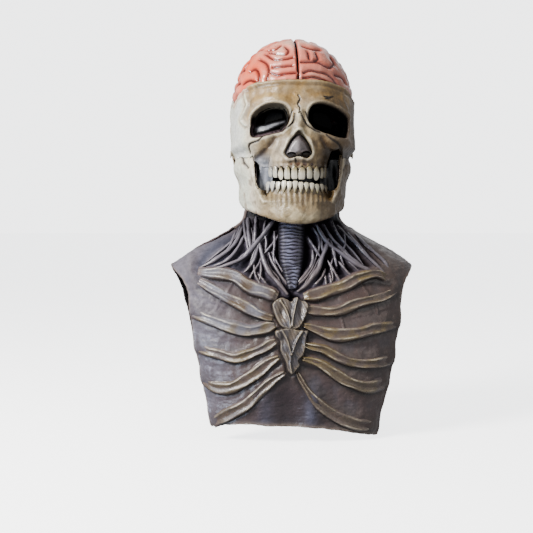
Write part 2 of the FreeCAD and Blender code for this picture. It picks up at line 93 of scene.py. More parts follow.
def evenly(curve, count, closed=False):
    """count points at even steps along a dense curve."""
    run = run_of(curve)
    want = np.linspace(0, run[-1], count, endpoint=not closed)
    return np.stack([np.interp(want, run, curve[:, k]) for k in range(curve.shape[1])], 1)


def path(points, count):
    """count points evenly spaced along the smooth curve through these points."""
    points = np.asarray(points, float)
    steps = run_of(points)
    return evenly(hermite(steps, points, np.linspace(0, steps[-1], 12 * count)), count)


def loop(points, count):
    """The same for a closed curve."""
    points = np.asarray(points, float)
    many = np.vstack([points[-3:], points, points[:3]])
    steps = run_of(many)
    return evenly(hermite(steps, many, np.linspace(steps[3], steps[-3], 8 * count)), count, True)


def line_distance(a, b, line):
    """Distance of the points (a, b) to a polyline, and how far along it, 0 to 1, its nearest
    point is."""
    line = np.asarray(line, float)[:, :2]
    lengths = np.linalg.norm(np.diff(line, axis=0), axis=1)
    total, before = lengths.sum(), 0.0
    best = np.full(np.shape(a), 1e9)
    along = np.zeros(np.shape(a))
    for p, q, length in zip(line[:-1], line[1:], lengths):
        d = (q - p) / max(length, 1e-9)
        t = np.clip((a - p[0]) * d[0] + (b - p[1]) * d[1], 0, length)
        far = np.hypot(a - p[0] - t * d[0], b - p[1] - t * d[1])
        closer = far < best
        best = np.where(closer, far, best)
        along = np.where(closer, (before + t) / total, along)
        before += length
    return best, along


def off_line(a, b, points, count):
    """Distance of the points (a, b) to the smooth curve through the given points."""
    return line_distance(a, b, path(points, count))[0]


def inside_distance(a, b, outline):
    """Signed distance to a closed outline: positive inside."""
    ring = np.vstack([outline, outline[:1]])
    far = line_distance(a, b, ring)[0]
    odd = np.zeros(np.shape(a), bool)
    for (ax, ay), (bx, by) in zip(ring[:-1], ring[1:]):
        crosses = ((ay > b) != (by > b)) & (a < (bx - ax) * (b - ay) / (by - ay + 1e-12) + ax)
        odd ^= crosses
    return np.where(odd, far, -far)


def waves(points, size, seed, octaves=3):
    """Smooth solid noise, about -1 to 1, with features of this size in millimetres."""
    rng = np.random.default_rng(seed)
    total = np.zeros(points.shape[:-1])
    for octave in range(octaves):
        for _ in range(10):
            d = rng.normal(size=3)
            d *= 2 * np.pi / (size * 1.6 / 1.9 ** octave) / np.linalg.norm(d)
            total += np.sin(points @ d + rng.uniform(0, 6.28)) * 0.55 ** octave
    return total / 4.2


def blurred(values, steps):
    """Box blur along both directions of a grid."""
    out, width = values, 2 * steps + 1
    for axis in (0, 1):
        pad = [(steps, steps) if k == axis else (0, 0) for k in (0, 1)]
        sums = np.cumsum(np.pad(out, pad, mode="edge"), axis=axis)
        sums = np.concatenate([np.zeros_like(np.take(sums, [0], axis=axis)), sums], axis=axis)
        size = out.shape[axis]
        high = np.take(sums, np.arange(width, width + size), axis=axis)
        low = np.take(sums, np.arange(0, size), axis=axis)
        out = (high - low) / width
    return out


def unit_of(vectors):
    return vectors / np.maximum(np.linalg.norm(vectors, axis=-1, keepdims=True), 1e-9)


def normals_of(grid):
    """Outward normals of a grid of points whose rows go up and columns go round anticlockwise."""
    return unit_of(np.cross(np.gradient(grid, axis=1), np.gradient(grid, axis=0)))


# ---------------------------------------------------------------- forms
PHI = np.pi / 2 + np.linspace(0, 2 * np.pi, 1441)  # once round a section, from the back middle


class Form:
    """A smooth body given by horizontal sections, split into front and back at y = waist."""

    def __init__(self, rows, waist):
        rows = np.array(sorted(rows), float)
        self.z, self.values, self.waist = rows[:, 0], rows[:, 1:], waist

    def row(self, z):
        return hermite(self.z, self.values, z)

    def y(self, x, z, front=True):
        """Where the surface is, in front or behind, at (x, z)."""
        v = self.row(z)
        half, near, far, n = (v[..., k] for k in range(4))
        t = np.clip(np.abs(x) / half, 0, 0.9985)
        depth = (self.waist - near) if front else (far - self.waist)
        depth = depth * (1 - t ** n) ** (1 / n)
        return self.waist - depth if front else self.waist + depth

    def point(self, x, z, front=True):
        return np.stack([x, self.y(x, z, front), z], -1)

    def normal(self, x, z, front=True, step=1.0):
        dx = self.point(x + step, z, front) - self.point(x - step, z, front)
        dz = self.point(x, z + step, front) - self.point(x, z - step, front)
        return unit_of(np.cross(dx, dz) * (1 if front else -1))

    def section(self, z):
        """x, y and length so far round the section at height z: back middle, -X, front, +X."""
        half, near, far, n = self.row(float(z))
        c, s = np.cos(PHI), np.sin(PHI)
        x = half * np.sign(c) * np.abs(c) ** (2 / n)
        depth = np.where(s > 0, far - self.waist, self.waist - near)
        y = self.waist + depth * np.sign(s) * np.abs(s) ** (2 / n)
        return x, y, np.r_[0, np.cumsum(np.hypot(np.diff(x), np.diff(y)))]

    def ring(self, zs, columns, start=0.0, end=1.0):
        """Rows of points round the form. start and end, one value or one per row, are shares of
        the way round."""
        zs = np.asarray(zs, float)
        start, end = np.broadcast_to(start, zs.shape), np.broadcast_to(end, zs.shape)
        out = np.empty((len(zs), len(columns), 3))
        for i, z in enumerate(zs):
            x, y, run = self.section(z)
            want = (start[i] + (end[i] - start[i]) * np.asarray(columns)) % 1.0 * run[-1]
            out[i, :, 0], out[i, :, 1] = np.interp(want, run, x), np.interp(want, run, y)
            out[i, :, 2] = z
        return out

    def share(self, y, z, left=True):
        """How far round the section at height z the given y lies, on the +X or the -X side."""
        _, ys, run = self.section(z)
        part = slice(720, 1441) if left else slice(720, None, -1)
        return float(np.interp(y, ys[part], run[part]) / run[-1])


head, jaw_form, torso = Form(HEAD, -5.0), Form(JAW, -5.0), Form(TORSO, 5.0)


# ---------------------------------------------------------------- meshes
GREY_WEIGHTS = [0.25, 0.6, 0.15]
MIDDLE_GREY, CONTRAST, SATURATION = 0.36, 0.3, 1.42  # the paint is deepened about a middle grey


def make_object(name, verts, quads, tris=(), paint=None, wet=None):
    """A mesh object in metres from points in millimetres, without the points no face uses.
    paint is a colour and wet a gloss for each point."""
    verts = np.asarray(verts, float).reshape(-1, 3)
    quads = np.asarray(quads, np.int64).reshape(-1, 4)
    tris = np.asarray(tris, np.int64).reshape(-1, 3)
    used = np.zeros(len(verts), bool)
    used[np.r_[quads.ravel(), tris.ravel()]] = True
    index = np.cumsum(used) - 1
    quads, tris, verts = index[quads], index[tris], verts[used]
    mesh = bpy.data.meshes.new(name)
    mesh.vertices.add(len(verts))
    mesh.vertices.foreach_set("co", (verts * MM).astype(np.float32).ravel())
    corners = np.r_[quads.ravel(), tris.ravel()].astype(np.int32)
    mesh.loops.add(len(corners))
    mesh.loops.foreach_set("vertex_index", corners)
    starts = np.r_[np.arange(len(quads)) * 4, len(quads) * 4 + np.arange(len(tris)) * 3]
    mesh.polygons.add(len(quads) + len(tris))
    mesh.polygons.foreach_set("loop_start", starts.astype(np.int32))
    mesh.polygons.foreach_set("use_smooth", np.ones(len(starts), bool))
    mesh.update(calc_edges=True)
    mesh.validate()
    if paint is not None:
        rgba = np.ones((len(used), 4), np.float32)
        flat = np.asarray(paint, float).reshape(-1, 3)
        grey = flat @ GREY_WEIGHTS
        deeper = (np.maximum(grey, 1e-4) / MIDDLE_GREY) ** CONTRAST
        flat = (grey[:, None] + (flat - grey[:, None]) * SATURATION) * deeper[:, None]
        rgba[:, :3] = np.clip(flat, 0, 1)
        layer = mesh.color_attributes.new("paint", "FLOAT_COLOR", "POINT")
        layer.data.foreach_set("color", rgba[used].ravel())
    if wet is not None:
        layer = mesh.attributes.new("wet", "FLOAT", "POINT")
        layer.data.foreach_set("value", np.asarray(wet, np.float32).reshape(-1)[used])
    obj = bpy.data.objects.new(name, mesh)
    bpy.context.scene.collection.objects.link(obj)
    return obj


def grid_quads(rows, columns, closed=False, first=0):
    index = first + np.arange(rows * columns).reshape(rows, columns)
    if closed:
        index = np.concatenate([index, index[:, :1]], 1)
    corners = [index[:-1, :-1], index[:-1, 1:], index[1:, 1:], index[1:, :-1]]
    return np.stack(corners, -1).reshape(-1, 4)


def border(rows, columns):
    """Index of the points round an open grid, anticlockwise seen from outside."""
    index = np.arange(rows * columns).reshape(rows, columns)
    return np.r_[index[0, :-1], index[:-1, -1], index[-1, :0:-1], index[:0:-1, 0]]


def shell(name, grid, thick, paint, wet, inner_paint, lip=0.35, holes=None, flush_above=1e9):
    """A closed skin of this thickness: the sculpted grid outside, a plainer one inside and a
    rounded lip. The grid has an odd number of rows and of columns; points in holes are left open,
    and the lip is flat above the height flush_above."""
    rows, columns = grid.shape[:2]
    out_n = normals_of(grid)
    soft = np.stack([blurred(grid[..., k], 4) for k in range(3)], -1)
    edge = np.minimum(np.minimum(np.arange(rows), np.arange(rows)[::-1])[:, None],
                      np.minimum(np.arange(columns), np.arange(columns)[::-1])[None, :])
    soft = grid + (soft - grid) * smooth(edge, 0, 6)[..., None]
    inner = (soft - out_n * thick)[::2, ::2]
    rim = border(rows, columns)
    flat, flat_n = grid.reshape(-1, 3), out_n.reshape(-1, 3)
    along = flat[np.roll(rim, -1)] - flat[np.roll(rim, 1)]
    side = unit_of(np.cross(along, flat_n[rim]))
    side[flat[rim, 2] > flush_above] = 0
    mid = flat[rim] - flat_n[rim] * thick / 2 + side * thick * lip
    n_out, n_mid = len(flat), len(rim)
    outer = grid_quads(rows, columns)
    if holes is not None:
        outer = outer[~holes.reshape(-1)[outer].any(1)]
    quads = [outer]
    mid_index = n_out + np.arange(n_mid)
    quads.append(np.stack([rim, mid_index, np.roll(mid_index, -1), np.roll(rim, -1)], 1)[:, ::-1])
    first = n_out + n_mid
    inner_rows, inner_columns = inner.shape[:2]
    lining = grid_quads(inner_rows, inner_columns, first=first)[:, ::-1]
    if holes is not None:
        lining = lining[~holes[::2, ::2].reshape(-1)[lining - first].any(1)]
    quads.append(lining)
    inner_rim = first + border(inner_rows, inner_columns)
    a, b, c = mid_index[0::2], mid_index[1::2], np.roll(mid_index, -2)[0::2]
    i, j = inner_rim, np.roll(inner_rim, -1)
    tris = np.concatenate([np.stack([a, b, i], 1), np.stack([b, c, j], 1), np.stack([b, j, i], 1)])
    verts = np.concatenate([flat, mid, inner.reshape(-1, 3)])
    rim_paint = paint.reshape(-1, 3)[rim] * 0.8
    inside = np.broadcast_to(np.array(inner_paint), (inner_rows * inner_columns, 3))
    colours = np.concatenate([paint.reshape(-1, 3), rim_paint, inside])
    gloss = np.concatenate([wet.reshape(-1), wet.reshape(-1)[rim],
                            np.full(inner_rows * inner_columns, INSIDE_WET)])
    return make_object(name, verts, np.concatenate(quads), tris[:, ::-1], colours, gloss)


def tubes(name, parts):
    """One object from tubes: each is (rings of points, paint, wet), with its ends closed."""
    verts, quads, tris, colours, gloss, first = [], [], [], [], [], 0
    for rings, paint, wet in parts:
        count, around = rings.shape[:2]
        verts += [rings.reshape(-1, 3), rings[0].mean(0)[None], rings[-1].mean(0)[None]]
        colours += [paint.reshape(-1, 3), paint[0].mean(0)[None], paint[-1].mean(0)[None]]
        gloss += [wet.reshape(-1), wet[0].mean()[None], wet[-1].mean()[None]]
        quads.append(grid_quads(count, around, True, first))
        low, high = first + count * around, first + count * around + 1
        ring = np.arange(around)
        start, end = first + ring, first + (count - 1) * around + ring
        tris.append(np.stack([np.full(around, low), np.roll(start, -1), start], 1))
        tris.append(np.stack([np.full(around, high), end, np.roll(end, -1)], 1))
        first += count * around + 2
    return make_object(name, np.concatenate(verts), np.concatenate(quads), np.concatenate(tris),
                       np.concatenate(colours), np.concatenate(gloss))


def place(obj, body, slot, node=None):
    """What a finished piece needs: its material, the CAD node it stands for, its slot and the
    body it rides on. body is None for a piece that is attached to no body."""
    obj.data.materials.append(MATERIALS[slot])
    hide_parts(node or obj.name.split(".")[0])
    if body is not None:
        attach(obj, body)


def mixed(a, b, share):
    share = np.asarray(share, float)[..., None]
    return np.asarray(a, float) * (1 - share) + np.asarray(b, float) * share


def painted(paint, *layers):
    """Coats of paint, one over another: each is (colour, share of cover at each point)."""
    for colour, share in layers:
        paint = mixed(paint, colour, share)
    return paint


# ---------------------------------------------------------------- materials
def new_material(name):
    """An empty material: returns the function that adds a node to it and the one that closes it
    with a shader. Inputs are numbers, colours or the outputs of other nodes."""
    m = bpy.data.materials.new(name)
    m.use_nodes = True
    tree = m.node_tree
    tree.nodes.clear()

    def add(kind, inputs=(), **settings):
        node = tree.nodes.new("ShaderNode" + kind)
        for key, value in settings.items():
            setattr(node, key, value)
        for key, value in dict(inputs).items():
            if isinstance(value, bpy.types.NodeSocket):
                tree.links.new(value, node.inputs[key])
            else:
                node.inputs[key].default_value = value
        return node

    def finish(inputs):
        add("OutputMaterial", {0: add("BsdfPrincipled", inputs).outputs[0]})
        return m

    return add, finish


def finish_of(name, rough, spread=0.12, coat=0.0, pores=0.25, pore_size=900.0, lumps=0.3,
              lump_size=160.0, shade=0.22, colour=None, sheen=0.0, tone=0.56):
    """Painted latex, bone, foam and so on. The paint attribute, or one colour, is broken up by
    noise at two scales; roughness and bump follow the same noise. The wet attribute adds gloss;
    at -1 the surface is fully matt."""
    add, finish = new_material(name)
    where = add("TexCoord").outputs["Object"]

    def noise(size, detail):
        return add("TexNoise", {"Vector": where, "Scale": size, "Detail": detail,
                                "Roughness": 0.6}).outputs["Fac"]

    def ranged(value, low, high):
        return add("MapRange", {"Value": value, "From Min": 0.3, "From Max": 0.7,
                                "To Min": low, "To Max": high}).outputs["Result"]

    def math(operation, *values, **settings):
        return add("Math", enumerate(values), operation=operation, **settings).outputs[0]

    broad, fine = noise(lump_size, 4), noise(pore_size, 3)
    shine = ranged(broad, rough + spread, rough - spread)
    inputs = {"Coat Roughness": 0.3, "Sheen Weight": sheen}
    if colour is None:
        base = add("Attribute", attribute_name="paint").outputs["Color"]
        wet = add("Attribute", attribute_name="wet").outputs["Fac"]
        shine = math("MULTIPLY_ADD", wet, -0.25, shine)
        gloss = math("ADD", wet, 1.0, use_clamp=True)
        inputs["Specular IOR Level"] = math("MULTIPLY", gloss, 0.5)
        inputs["Coat Weight"] = math("MULTIPLY", gloss, coat)
    else:
        base, tone = add("RGB").outputs[0], 1.0
        base.default_value = (*colour, 1)
    both = math("MULTIPLY", ranged(broad, tone * (1 - shade), tone * (1 + shade)),
                ranged(fine, 1 - shade * 0.6, 1 + shade * 0.6))
    inputs["Base Color"] = add("VectorMath", {0: base, "Scale": both}, operation="SCALE").outputs[0]
    inputs["Roughness"] = shine
    relief = add("Bump", {"Strength": lumps, "Distance": 0.0015, "Height": broad}).outputs[0]
    inputs["Normal"] = add("Bump", {"Strength": pores, "Distance": 0.0004, "Height": fine,
                                    "Normal": relief}).outputs[0]
    return finish(inputs)


def weave_of(name, colour, pitch, rough=0.9):
    """Open woven cloth: two crossed sets of threads in relief."""
    add, finish = new_material(name)
    where = add("TexCoord").outputs["Object"]
    threads = [add("TexWave", {"Vector": where, "Scale": 0.314 / pitch, "Distortion": 0.4},
                   bands_direction=axis).outputs["Fac"] for axis in ("X", "Z")]
    top = add("Math", enumerate(threads), operation="MULTIPLY").outputs[0]
    ramp = add("Mix", {"Factor": top, "A": (*[c * 0.35 for c in colour], 1),
                       "B": (*[min(1, c * 1.5) for c in colour], 1)}, data_type="RGBA")
    relief = add("Bump", {"Strength": 0.6, "Distance": 0.0005, "Height": top}).outputs[0]
    return finish({"Base Color": ramp.outputs["Result"], "Normal": relief, "Roughness": rough,
                   "Specular IOR Level": 0.12})


BONE = finish_of("bone", 0.5, coat=0.1, shade=0.24, lumps=0.5, tone=0.47)
BRAIN = finish_of("brain", 0.36, coat=0.2, shade=0.1, lumps=0.2, tone=0.6)
FLESH = finish_of("flesh", 0.4, coat=0.06, shade=0.22, lumps=0.5, tone=0.42)
RIB = finish_of("rib", 0.42, coat=0.1, shade=0.22, lumps=0.5, lump_size=240, tone=0.5)
SINEW = finish_of("sinew", 0.42, coat=0.08, shade=0.2, lumps=0.4, tone=0.42)
TOOTH = finish_of("tooth", 0.34, coat=0.15, shade=0.12, lumps=0.2, lump_size=300, tone=0.56)
FOAM = finish_of("foam", 0.95, 0.04, colour=(0.035, 0.035, 0.038), pores=0.8, pore_size=1400,
                 lumps=0.2, sheen=0.3)
NYLON = finish_of("nylon", 0.45, 0.06, colour=(0.5, 0.49, 0.46), lumps=0.05, shade=0.08)
PLASTIC = finish_of("plastic", 0.4, 0.08, colour=(0.36, 0.32, 0.25), lumps=0.1, shade=0.25)
MESH = weave_of("mesh", (0.0006, 0.0006, 0.0007), 0.0012)
WEBBING = weave_of("webbing", (0.03, 0.03, 0.032), 0.0008)
MATERIALS = {
    "bone_latex": BONE, "jaw_latex": BONE, "brain_latex": BRAIN, "flesh_latex": FLESH,
    "rib_latex": RIB, "sinew_latex": SINEW, "trachea_latex": SINEW, "cartilage_latex": SINEW,
    "gum_latex": SINEW, "tooth_enamel": TOOTH, "foam": FOAM, "black_mesh": MESH,
    "elastic": WEBBING}

# Paints, as linear colours. The DARK ones serve mostly as painted shade,
# the PALE ones as painted highlight.
FLESH_BASE, FLESH_DARK, FLESH_PALE = (0.19, 0.142, 0.142), (0.016, 0.010, 0.010), (0.40, 0.33, 0.29)
NECK_BASE, NECK_DARK, NECK_PALE = (0.155, 0.14, 0.165), (0.012, 0.010, 0.014), (0.36, 0.335, 0.375)
RIB_BASE, RIB_OCHRE, RIB_PALE = (0.195, 0.155, 0.135), (0.30, 0.235, 0.115), (0.66, 0.57, 0.43)
RIB_DARK, EDGE_WORN = (0.03, 0.02, 0.016), (0.34, 0.28, 0.24)
INSIDE, INSIDE_WET = (0.05, 0.045, 0.045), -0.8

# Thicknesses of the latex skins, and how deep the eye mesh lies behind the sockets.
BIB_WALL, NECK_WALL, SKULL_WALL, BRAIN_WALL, JAW_WALL, WEB_WALL = 3.4, 3.2, 2.6, 3.0, 4.2, 1.6
EYE_DEPTH, EYE_SKIRT = 20.6, 22.4
PAD_THICK = 8

# ---------------------------------------------------------------- chest relief, as in the CAD
CLAVICLE_RIGHT = [(-144, -215, 6), (-117, -218, 8), (-92, -223, 9), (-70, -236, 9),
                  (-48, -244, 9), (-30, -252, 11)]
CLAVICLE_LEFT = [(8, -250, 7), (25, -249, 8), (50, -242, 9), (71, -234, 9),
                 (90, -225, 8), (114, -221, 7), (138, -226, 6)]
RIBS_RIGHT = [
    [(-143, -230, 5), (-117, -243, 7), (-92, -257, 8), (-65, -270, 8), (-36, -281, 6)],
    [(-151, -274, 7), (-124, -284, 8), (-100, -292, 9), (-75, -297, 9), (-51, -295, 8),
     (-33, -292, 6)],
    [(-143, -326, 6), (-117, -331, 8), (-90, -337, 8), (-66, -328, 8), (-32, -314, 6)],
    [(-135, -372, 7), (-117, -381, 9), (-100, -382, 9), (-75, -368, 9), (-51, -350, 8),
     (-28, -335, 6)],
    [(-124, -434, 9), (-100, -420, 9), (-75, -405, 9), (-60, -390, 8), (-41, -373, 7),
     (-20, -356, 5)]]
RIBS_LEFT = [
    [(10, -270, 7), (39, -271, 8), (62, -269, 8), (83, -262, 8), (107, -257, 7),
     (131, -250, 6), (150, -243, 4)],
    [(6, -291, 5), (36, -300, 8), (61, -305, 10), (87, -304, 9), (116, -297, 8),
     (148, -292, 6)],
    [(7, -317, 5), (33, -324, 7), (54, -336, 7), (74, -344, 7), (100, -348, 7),
     (140, -347, 8)],
    [(4, -338, 5), (28, -345, 7), (51, -358, 8), (74, -374, 8), (101, -384, 9),
     (130, -379, 9)],
    [(-3, -358, 4), (14, -384, 6), (31, -406, 8), (54, -423, 9), (81, -435, 9),
     (114, -444, 9)]]
MANUBRIUM = [(-35, -262), (-29, -256), (-22, -253.5), (-15, -256), (-10.5, -258.5), (-7, -254),
             (-3, -253), (2, -257), (8, -259), (12, -263), (11, -271), (7.5, -280), (3.5, -287),
             (-1, -292), (-10, -294), (-17, -293), (-24, -290), (-30, -281), (-34, -271)]
STERNUM = [(-31.5, -299), (-24, -296), (-10.5, -294), (-3.5, -296.5), (4, -297.5), (11, -299),
           (8.5, -308), (7.5, -321), (4, -334), (-1.5, -341), (0.5, -346), (-4, -354), (-10.5, -361),
           (-15, -356), (-17.5, -345), (-22, -334), (-25, -326), (-25.5, -313), (-31, -305)]
TRACHEA = [(-6, -144, 20), (-7, -170, 20), (-8, -200, 18), (-8, -222, 13), (-8, -240, 7)]
HOLLOW = [(-87, -157), (-104, -165), (-122, -175), (-135, -188), (-142, -204), (-143, -210)]
# Neck cords: centre line and thickness.
CORDS_RIGHT = [
    ([(-30, -138), (-53, -168), (-70, -187), (-84, -199)], 3.8),
    ([(-38, -149), (-54, -170), (-65, -184), (-79, -196), (-97, -204), (-117, -210),
      (-138, -213)], 2.6),
    ([(-53, -168), (-57, -182), (-64, -201), (-76, -215)], 2.8),
    ([(-54, -172), (-52, -185), (-48, -201), (-40, -218), (-27, -233), (-15, -248)], 4.2),
    ([(-41, -187), (-37, -199), (-30, -212), (-20, -227), (-9, -240)], 2.4),
    ([(-32, -156), (-32, -174), (-34, -193), (-31, -208)], 2.2),
    ([(-26, -162), (-36, -176), (-48, -189)], 2.0),
    ([(-69, -136), (-69, -160), (-67, -186)], 3.4),
    ([(-58, -134), (-59, -154), (-62, -176)], 2.8),
    ([(-76, -140), (-74, -162), (-70, -188)], 2.6),
    ([(-53, -199), (-53, -216), (-56, -228)], 2.0),
    ([(-63, -201), (-61, -220), (-52, -236)], 2.0),
    ([(-58, -217), (-44, -234)], 1.8),
    ([(-79, -151), (-86, -169), (-97, -183), (-112, -194), (-127, -203), (-141, -209)], 3.0),
    ([(-75, -160), (-84, -178), (-93, -191), (-104, -200), (-122, -207)], 2.6),
    ([(-71, -153), (-69, -173), (-66, -190)], 2.2),
    ([(-60, -187), (-67, -206), (-78, -216)], 2.2),
    ([(-89, -156), (-92, -166), (-100, -182), (-110, -190)], 2.0),
    ([(-45, -140), (-47, -156), (-44, -172), (-46, -186)], 2.0),
    ([(-36, -146), (-44, -162), (-58, -178), (-64, -192), (-70, -208)], 1.8),
    ([(-82, -148), (-88, -163), (-101, -177), (-118, -190), (-134, -202)], 1.6),
    ([(-50, -188), (-56, -204), (-66, -218), (-72, -230)], 1.7),
    ([(-44, -196), (-38, -212), (-28, -224), (-22, -238)], 1.6),
    ([(-66, -150), (-63, -168), (-68, -182), (-80, -192), (-94, -206)], 1.7),
    ([(-36, -186), (-30, -200), (-22, -214), (-16, -228)], 1.7)]
CORDS_LEFT = [
    ([(31, -146), (41, -166), (49, -177), (60, -185), (74, -196), (93, -208), (109, -216)], 3.4),
    ([(18, -166), (28, -183), (36, -195)], 2.4),
    ([(48, -168), (41, -187), (36, -198), (31, -212), (23, -222), (13, -234), (-1, -244)], 4.2),
    ([(52, -170), (55, -188), (59, -208)], 2.8),
    ([(46, -199), (54, -215), (64, -232)], 2.4),
    ([(62, -200), (73, -215), (82, -224)], 2.2),
    ([(42, -211), (36, -223), (23, -236)], 2.0),
    ([(41, -220), (42, -238)], 1.8),
    ([(48, -218), (50, -238)], 1.8),
    ([(60, -175), (77, -193), (95, -207), (117, -217)], 2.8),
    ([(80, -158), (94, -179), (107, -195), (122, -209), (134, -221)], 3.0),
    ([(93, -160), (106, -177), (121, -191), (134, -203), (141, -216)], 2.6),
    ([(24, -184), (23, -201), (11, -220), (-4, -235)], 2.6),
    ([(29, -194), (19, -215), (5, -230), (-6, -237)], 2.2),
    ([(38, -161), (38, -178), (40, -189)], 2.2),
    ([(75, -157), (73, -177), (66, -192), (70, -206)], 2.0),
    ([(44, -146), (50, -160), (58, -172), (72, -184), (84, -198)], 2.0),
    ([(58, -140), (62, -156), (70, -170), (88, -190), (100, -206)], 1.8),
    ([(26, -150), (33, -164), (34, -180), (28, -196)], 1.8),
    ([(54, -196), (50, -208), (52, -224), (46, -238)], 1.7),
    ([(70, -192), (80, -204), (92, -214)], 1.7),
    ([(66, -146), (82, -166), (99, -184), (118, -200)], 1.7),
    ([(33, -196), (26, -210), (16, -224), (8, -236)], 1.7)]


# ---------------------------------------------------------------- neck and bib skins
def bone_lines():
    return [CLAVICLE_RIGHT, CLAVICLE_LEFT, *RIBS_RIGHT, *RIBS_LEFT]


def throat(x, z):
    """Share of the dark, sinewy throat: between the shoulder slopes and the collar bones."""
    low = np.interp(x, [-150, -110, -60, -8, 60, 110, 150],
                    [-212, -220, -240, -262, -238, -224, -214])
    side = np.interp(z, [-262, -215, -205, -190, -170, -150, -120],
                     [20, 100, 128, 118, 98, 82, 90])
    return smooth(z, low - 8, low + 12) * smooth(np.abs(x + 4), side + 22, side - 12)


def skin_detail(points, front):
    """Relief of the neck and bib skins at these points, and the shares of neck, of painted shade
    under and round the raised parts and of raised bone that their paint follows."""
    x, y, z = (points[..., k] for k in range(3))
    rough_noise = waves(points, 34, 3)
    d = 0.9 * rough_noise + 0.28 * waves(points * np.array([1, 1, 1.9]), 9, 4)
    neck = np.zeros(x.shape)
    under = np.zeros(x.shape)
    near_bone = np.zeros(x.shape)
    if front:
        for line in bone_lines():
            far = off_line(x, z, line, 30)
            below = off_line(x, z + 9.5, line, 30)
            near_bone = np.maximum(near_bone, bump(far, 0, 17))
            under = np.maximum(under, bump(below, 0, 4.5))
        for plate in (MANUBRIUM, STERNUM):
            gap = inside_distance(x, z, np.array(plate))
            under = np.maximum(under, bump(gap, -2.5, 3))
        neck = throat(x, z) * (y < 10)
        d += 2.4 * near_bone - 1.9 * under - 1.5 * (1 - near_bone) * smooth(z, -215, -260)
        folds = 3.2 * bump(x, 18, 15) - 3.0 * bump(x, -12, 14) + 1.5 * bump(x, -48, 16)
        d += folds * smooth(z, -362, -400)
        hollow = bump(off_line(x, z, HOLLOW, 24), 0, 8) * (y < 10)
        d -= 6.0 * hollow
        strand = np.zeros(x.shape)
        for line, thick in CORDS_RIGHT + CORDS_LEFT:
            far = off_line(x, z, line, 14)
            strand = np.maximum(strand, bump(far, 0, thick + 1.4))
        d += neck * (-5.2 + 3.2 * strand)
        for line in ([(-94, -230), (-101, -243)], [(-110, -252), (-119, -270)],
                     [(94, -235), (103, -248)], [(114, -262), (118, -276)], [(61, -279), (66, -297)]):
            d += 1.5 * bump(line_distance(x, z, line)[0], 0, 2.2)
        lumps = (2.6 * bump(np.hypot(x + 156, z + 200), 0, 9)
                 + 2.2 * bump(np.hypot(x - 150, z + 232), 0, 9))
        d += lumps * (y < 0)
        neck = np.maximum(neck, hollow)
    else:
        middle = bump(x, 0, 16)
        d += -3.0 * middle * smooth(z, -140, -180)
        d += 3.0 * bump(np.abs(x), 40, 26) * bump(z, -160, 60)
        under = bump(np.abs(x), 22, 5) * smooth(z, -150, -200) * 0.6
    return d, neck, under, near_bone, rough_noise


def skin(points, front=True):
    """The sculpted skin over these points, its paint and gloss, and the points' own normals."""
    d, neck, under, near_bone, rough_noise = skin_detail(points, front)
    n = normals_of(points)
    out = points + n * d[..., None]
    relief = d - blurred(d, 6)
    fine_relief = d - blurred(d, 2)
    base = painted(
        FLESH_BASE,
        ((0.15, 0.10, 0.10), smooth(rough_noise, 0.0, 0.9) * 0.6),
        ((0.17, 0.16, 0.185), smooth(-rough_noise, 0.1, 0.8) * 0.55),
        ((0.24, 0.18, 0.12), near_bone * 0.35),
        (NECK_BASE, neck))
    # Painted shade: darker in the hollows (partly the mask's own dark wash), under the bones,
    # round the plates, in the pits between the neck cords and in the hollow above the -X collar bone.
    dark = np.clip(smooth(-relief, 0.7, 2.6) + 0.95 * under, 0, 1)
    dark = np.maximum(dark, neck * smooth(-d, 1.5, 4.6))
    deep = mixed(FLESH_DARK, NECK_DARK, neck)
    paint = mixed(base, deep, dark * 0.93)
    # Painted highlight on the ridges, partly the mask's own dry-brushed paler paint.
    pale = mixed(FLESH_PALE, NECK_PALE, neck)
    drybrush_and_highlight = smooth(relief, 0.7, 2.6) * 0.4 + smooth(fine_relief, 0.12, 0.6) * 0.18
    paint = mixed(paint, pale, drybrush_and_highlight * (1 - neck))
    if front:
        x, y, z = (points[..., k] for k in range(3))
        belly = smooth(z, -352, -395) * smooth(np.abs(x + 8), 82, 30) * (y < 0)
        # Painted reflection: blue-grey streaks of sheen down the folds of the lower belly.
        stripe = bump(x, 18, 9) * belly * smooth(z, -455, -420) + 0.5 * bump(x, -50, 12) * belly
        shoulder = smooth(z, -236, -206) * smooth(np.abs(x), 60, 110) * (1 - neck)
        # Painted light: the -X side paler and bluer, as if lit from that side.
        left_painted_light = smooth(-x, 60, 140) * (y < 0)
        # Painted shade round and between the ribs and collar bones.
        gap = np.minimum(blurred(near_bone, 5), 1)
        paint = painted(
            paint,
            ((0.055, 0.042, 0.05), belly * 0.75),
            ((0.24, 0.25, 0.34), stripe * 0.6),
            ((0.29, 0.255, 0.235), shoulder * 0.55),
            ((0.30, 0.305, 0.375), left_painted_light * 0.52),
            # Painted shade: the +X side darker and browner.
            ((0.12, 0.085, 0.065), smooth(x, 60, 150) * 0.4 * (y < 0)),
            ((0.07, 0.048, 0.046), smooth(gap, 0.15, 0.75) * 0.35 * (1 - neck)))
    wet = 0.1 + 0.25 * smooth(rough_noise, 0, 1) - 1.5 * neck
    wet = wet - 0.8 * smooth(-points[..., 0], 60, 110) * smooth(points[..., 2], -330, -250)
    return out, paint, wet, n


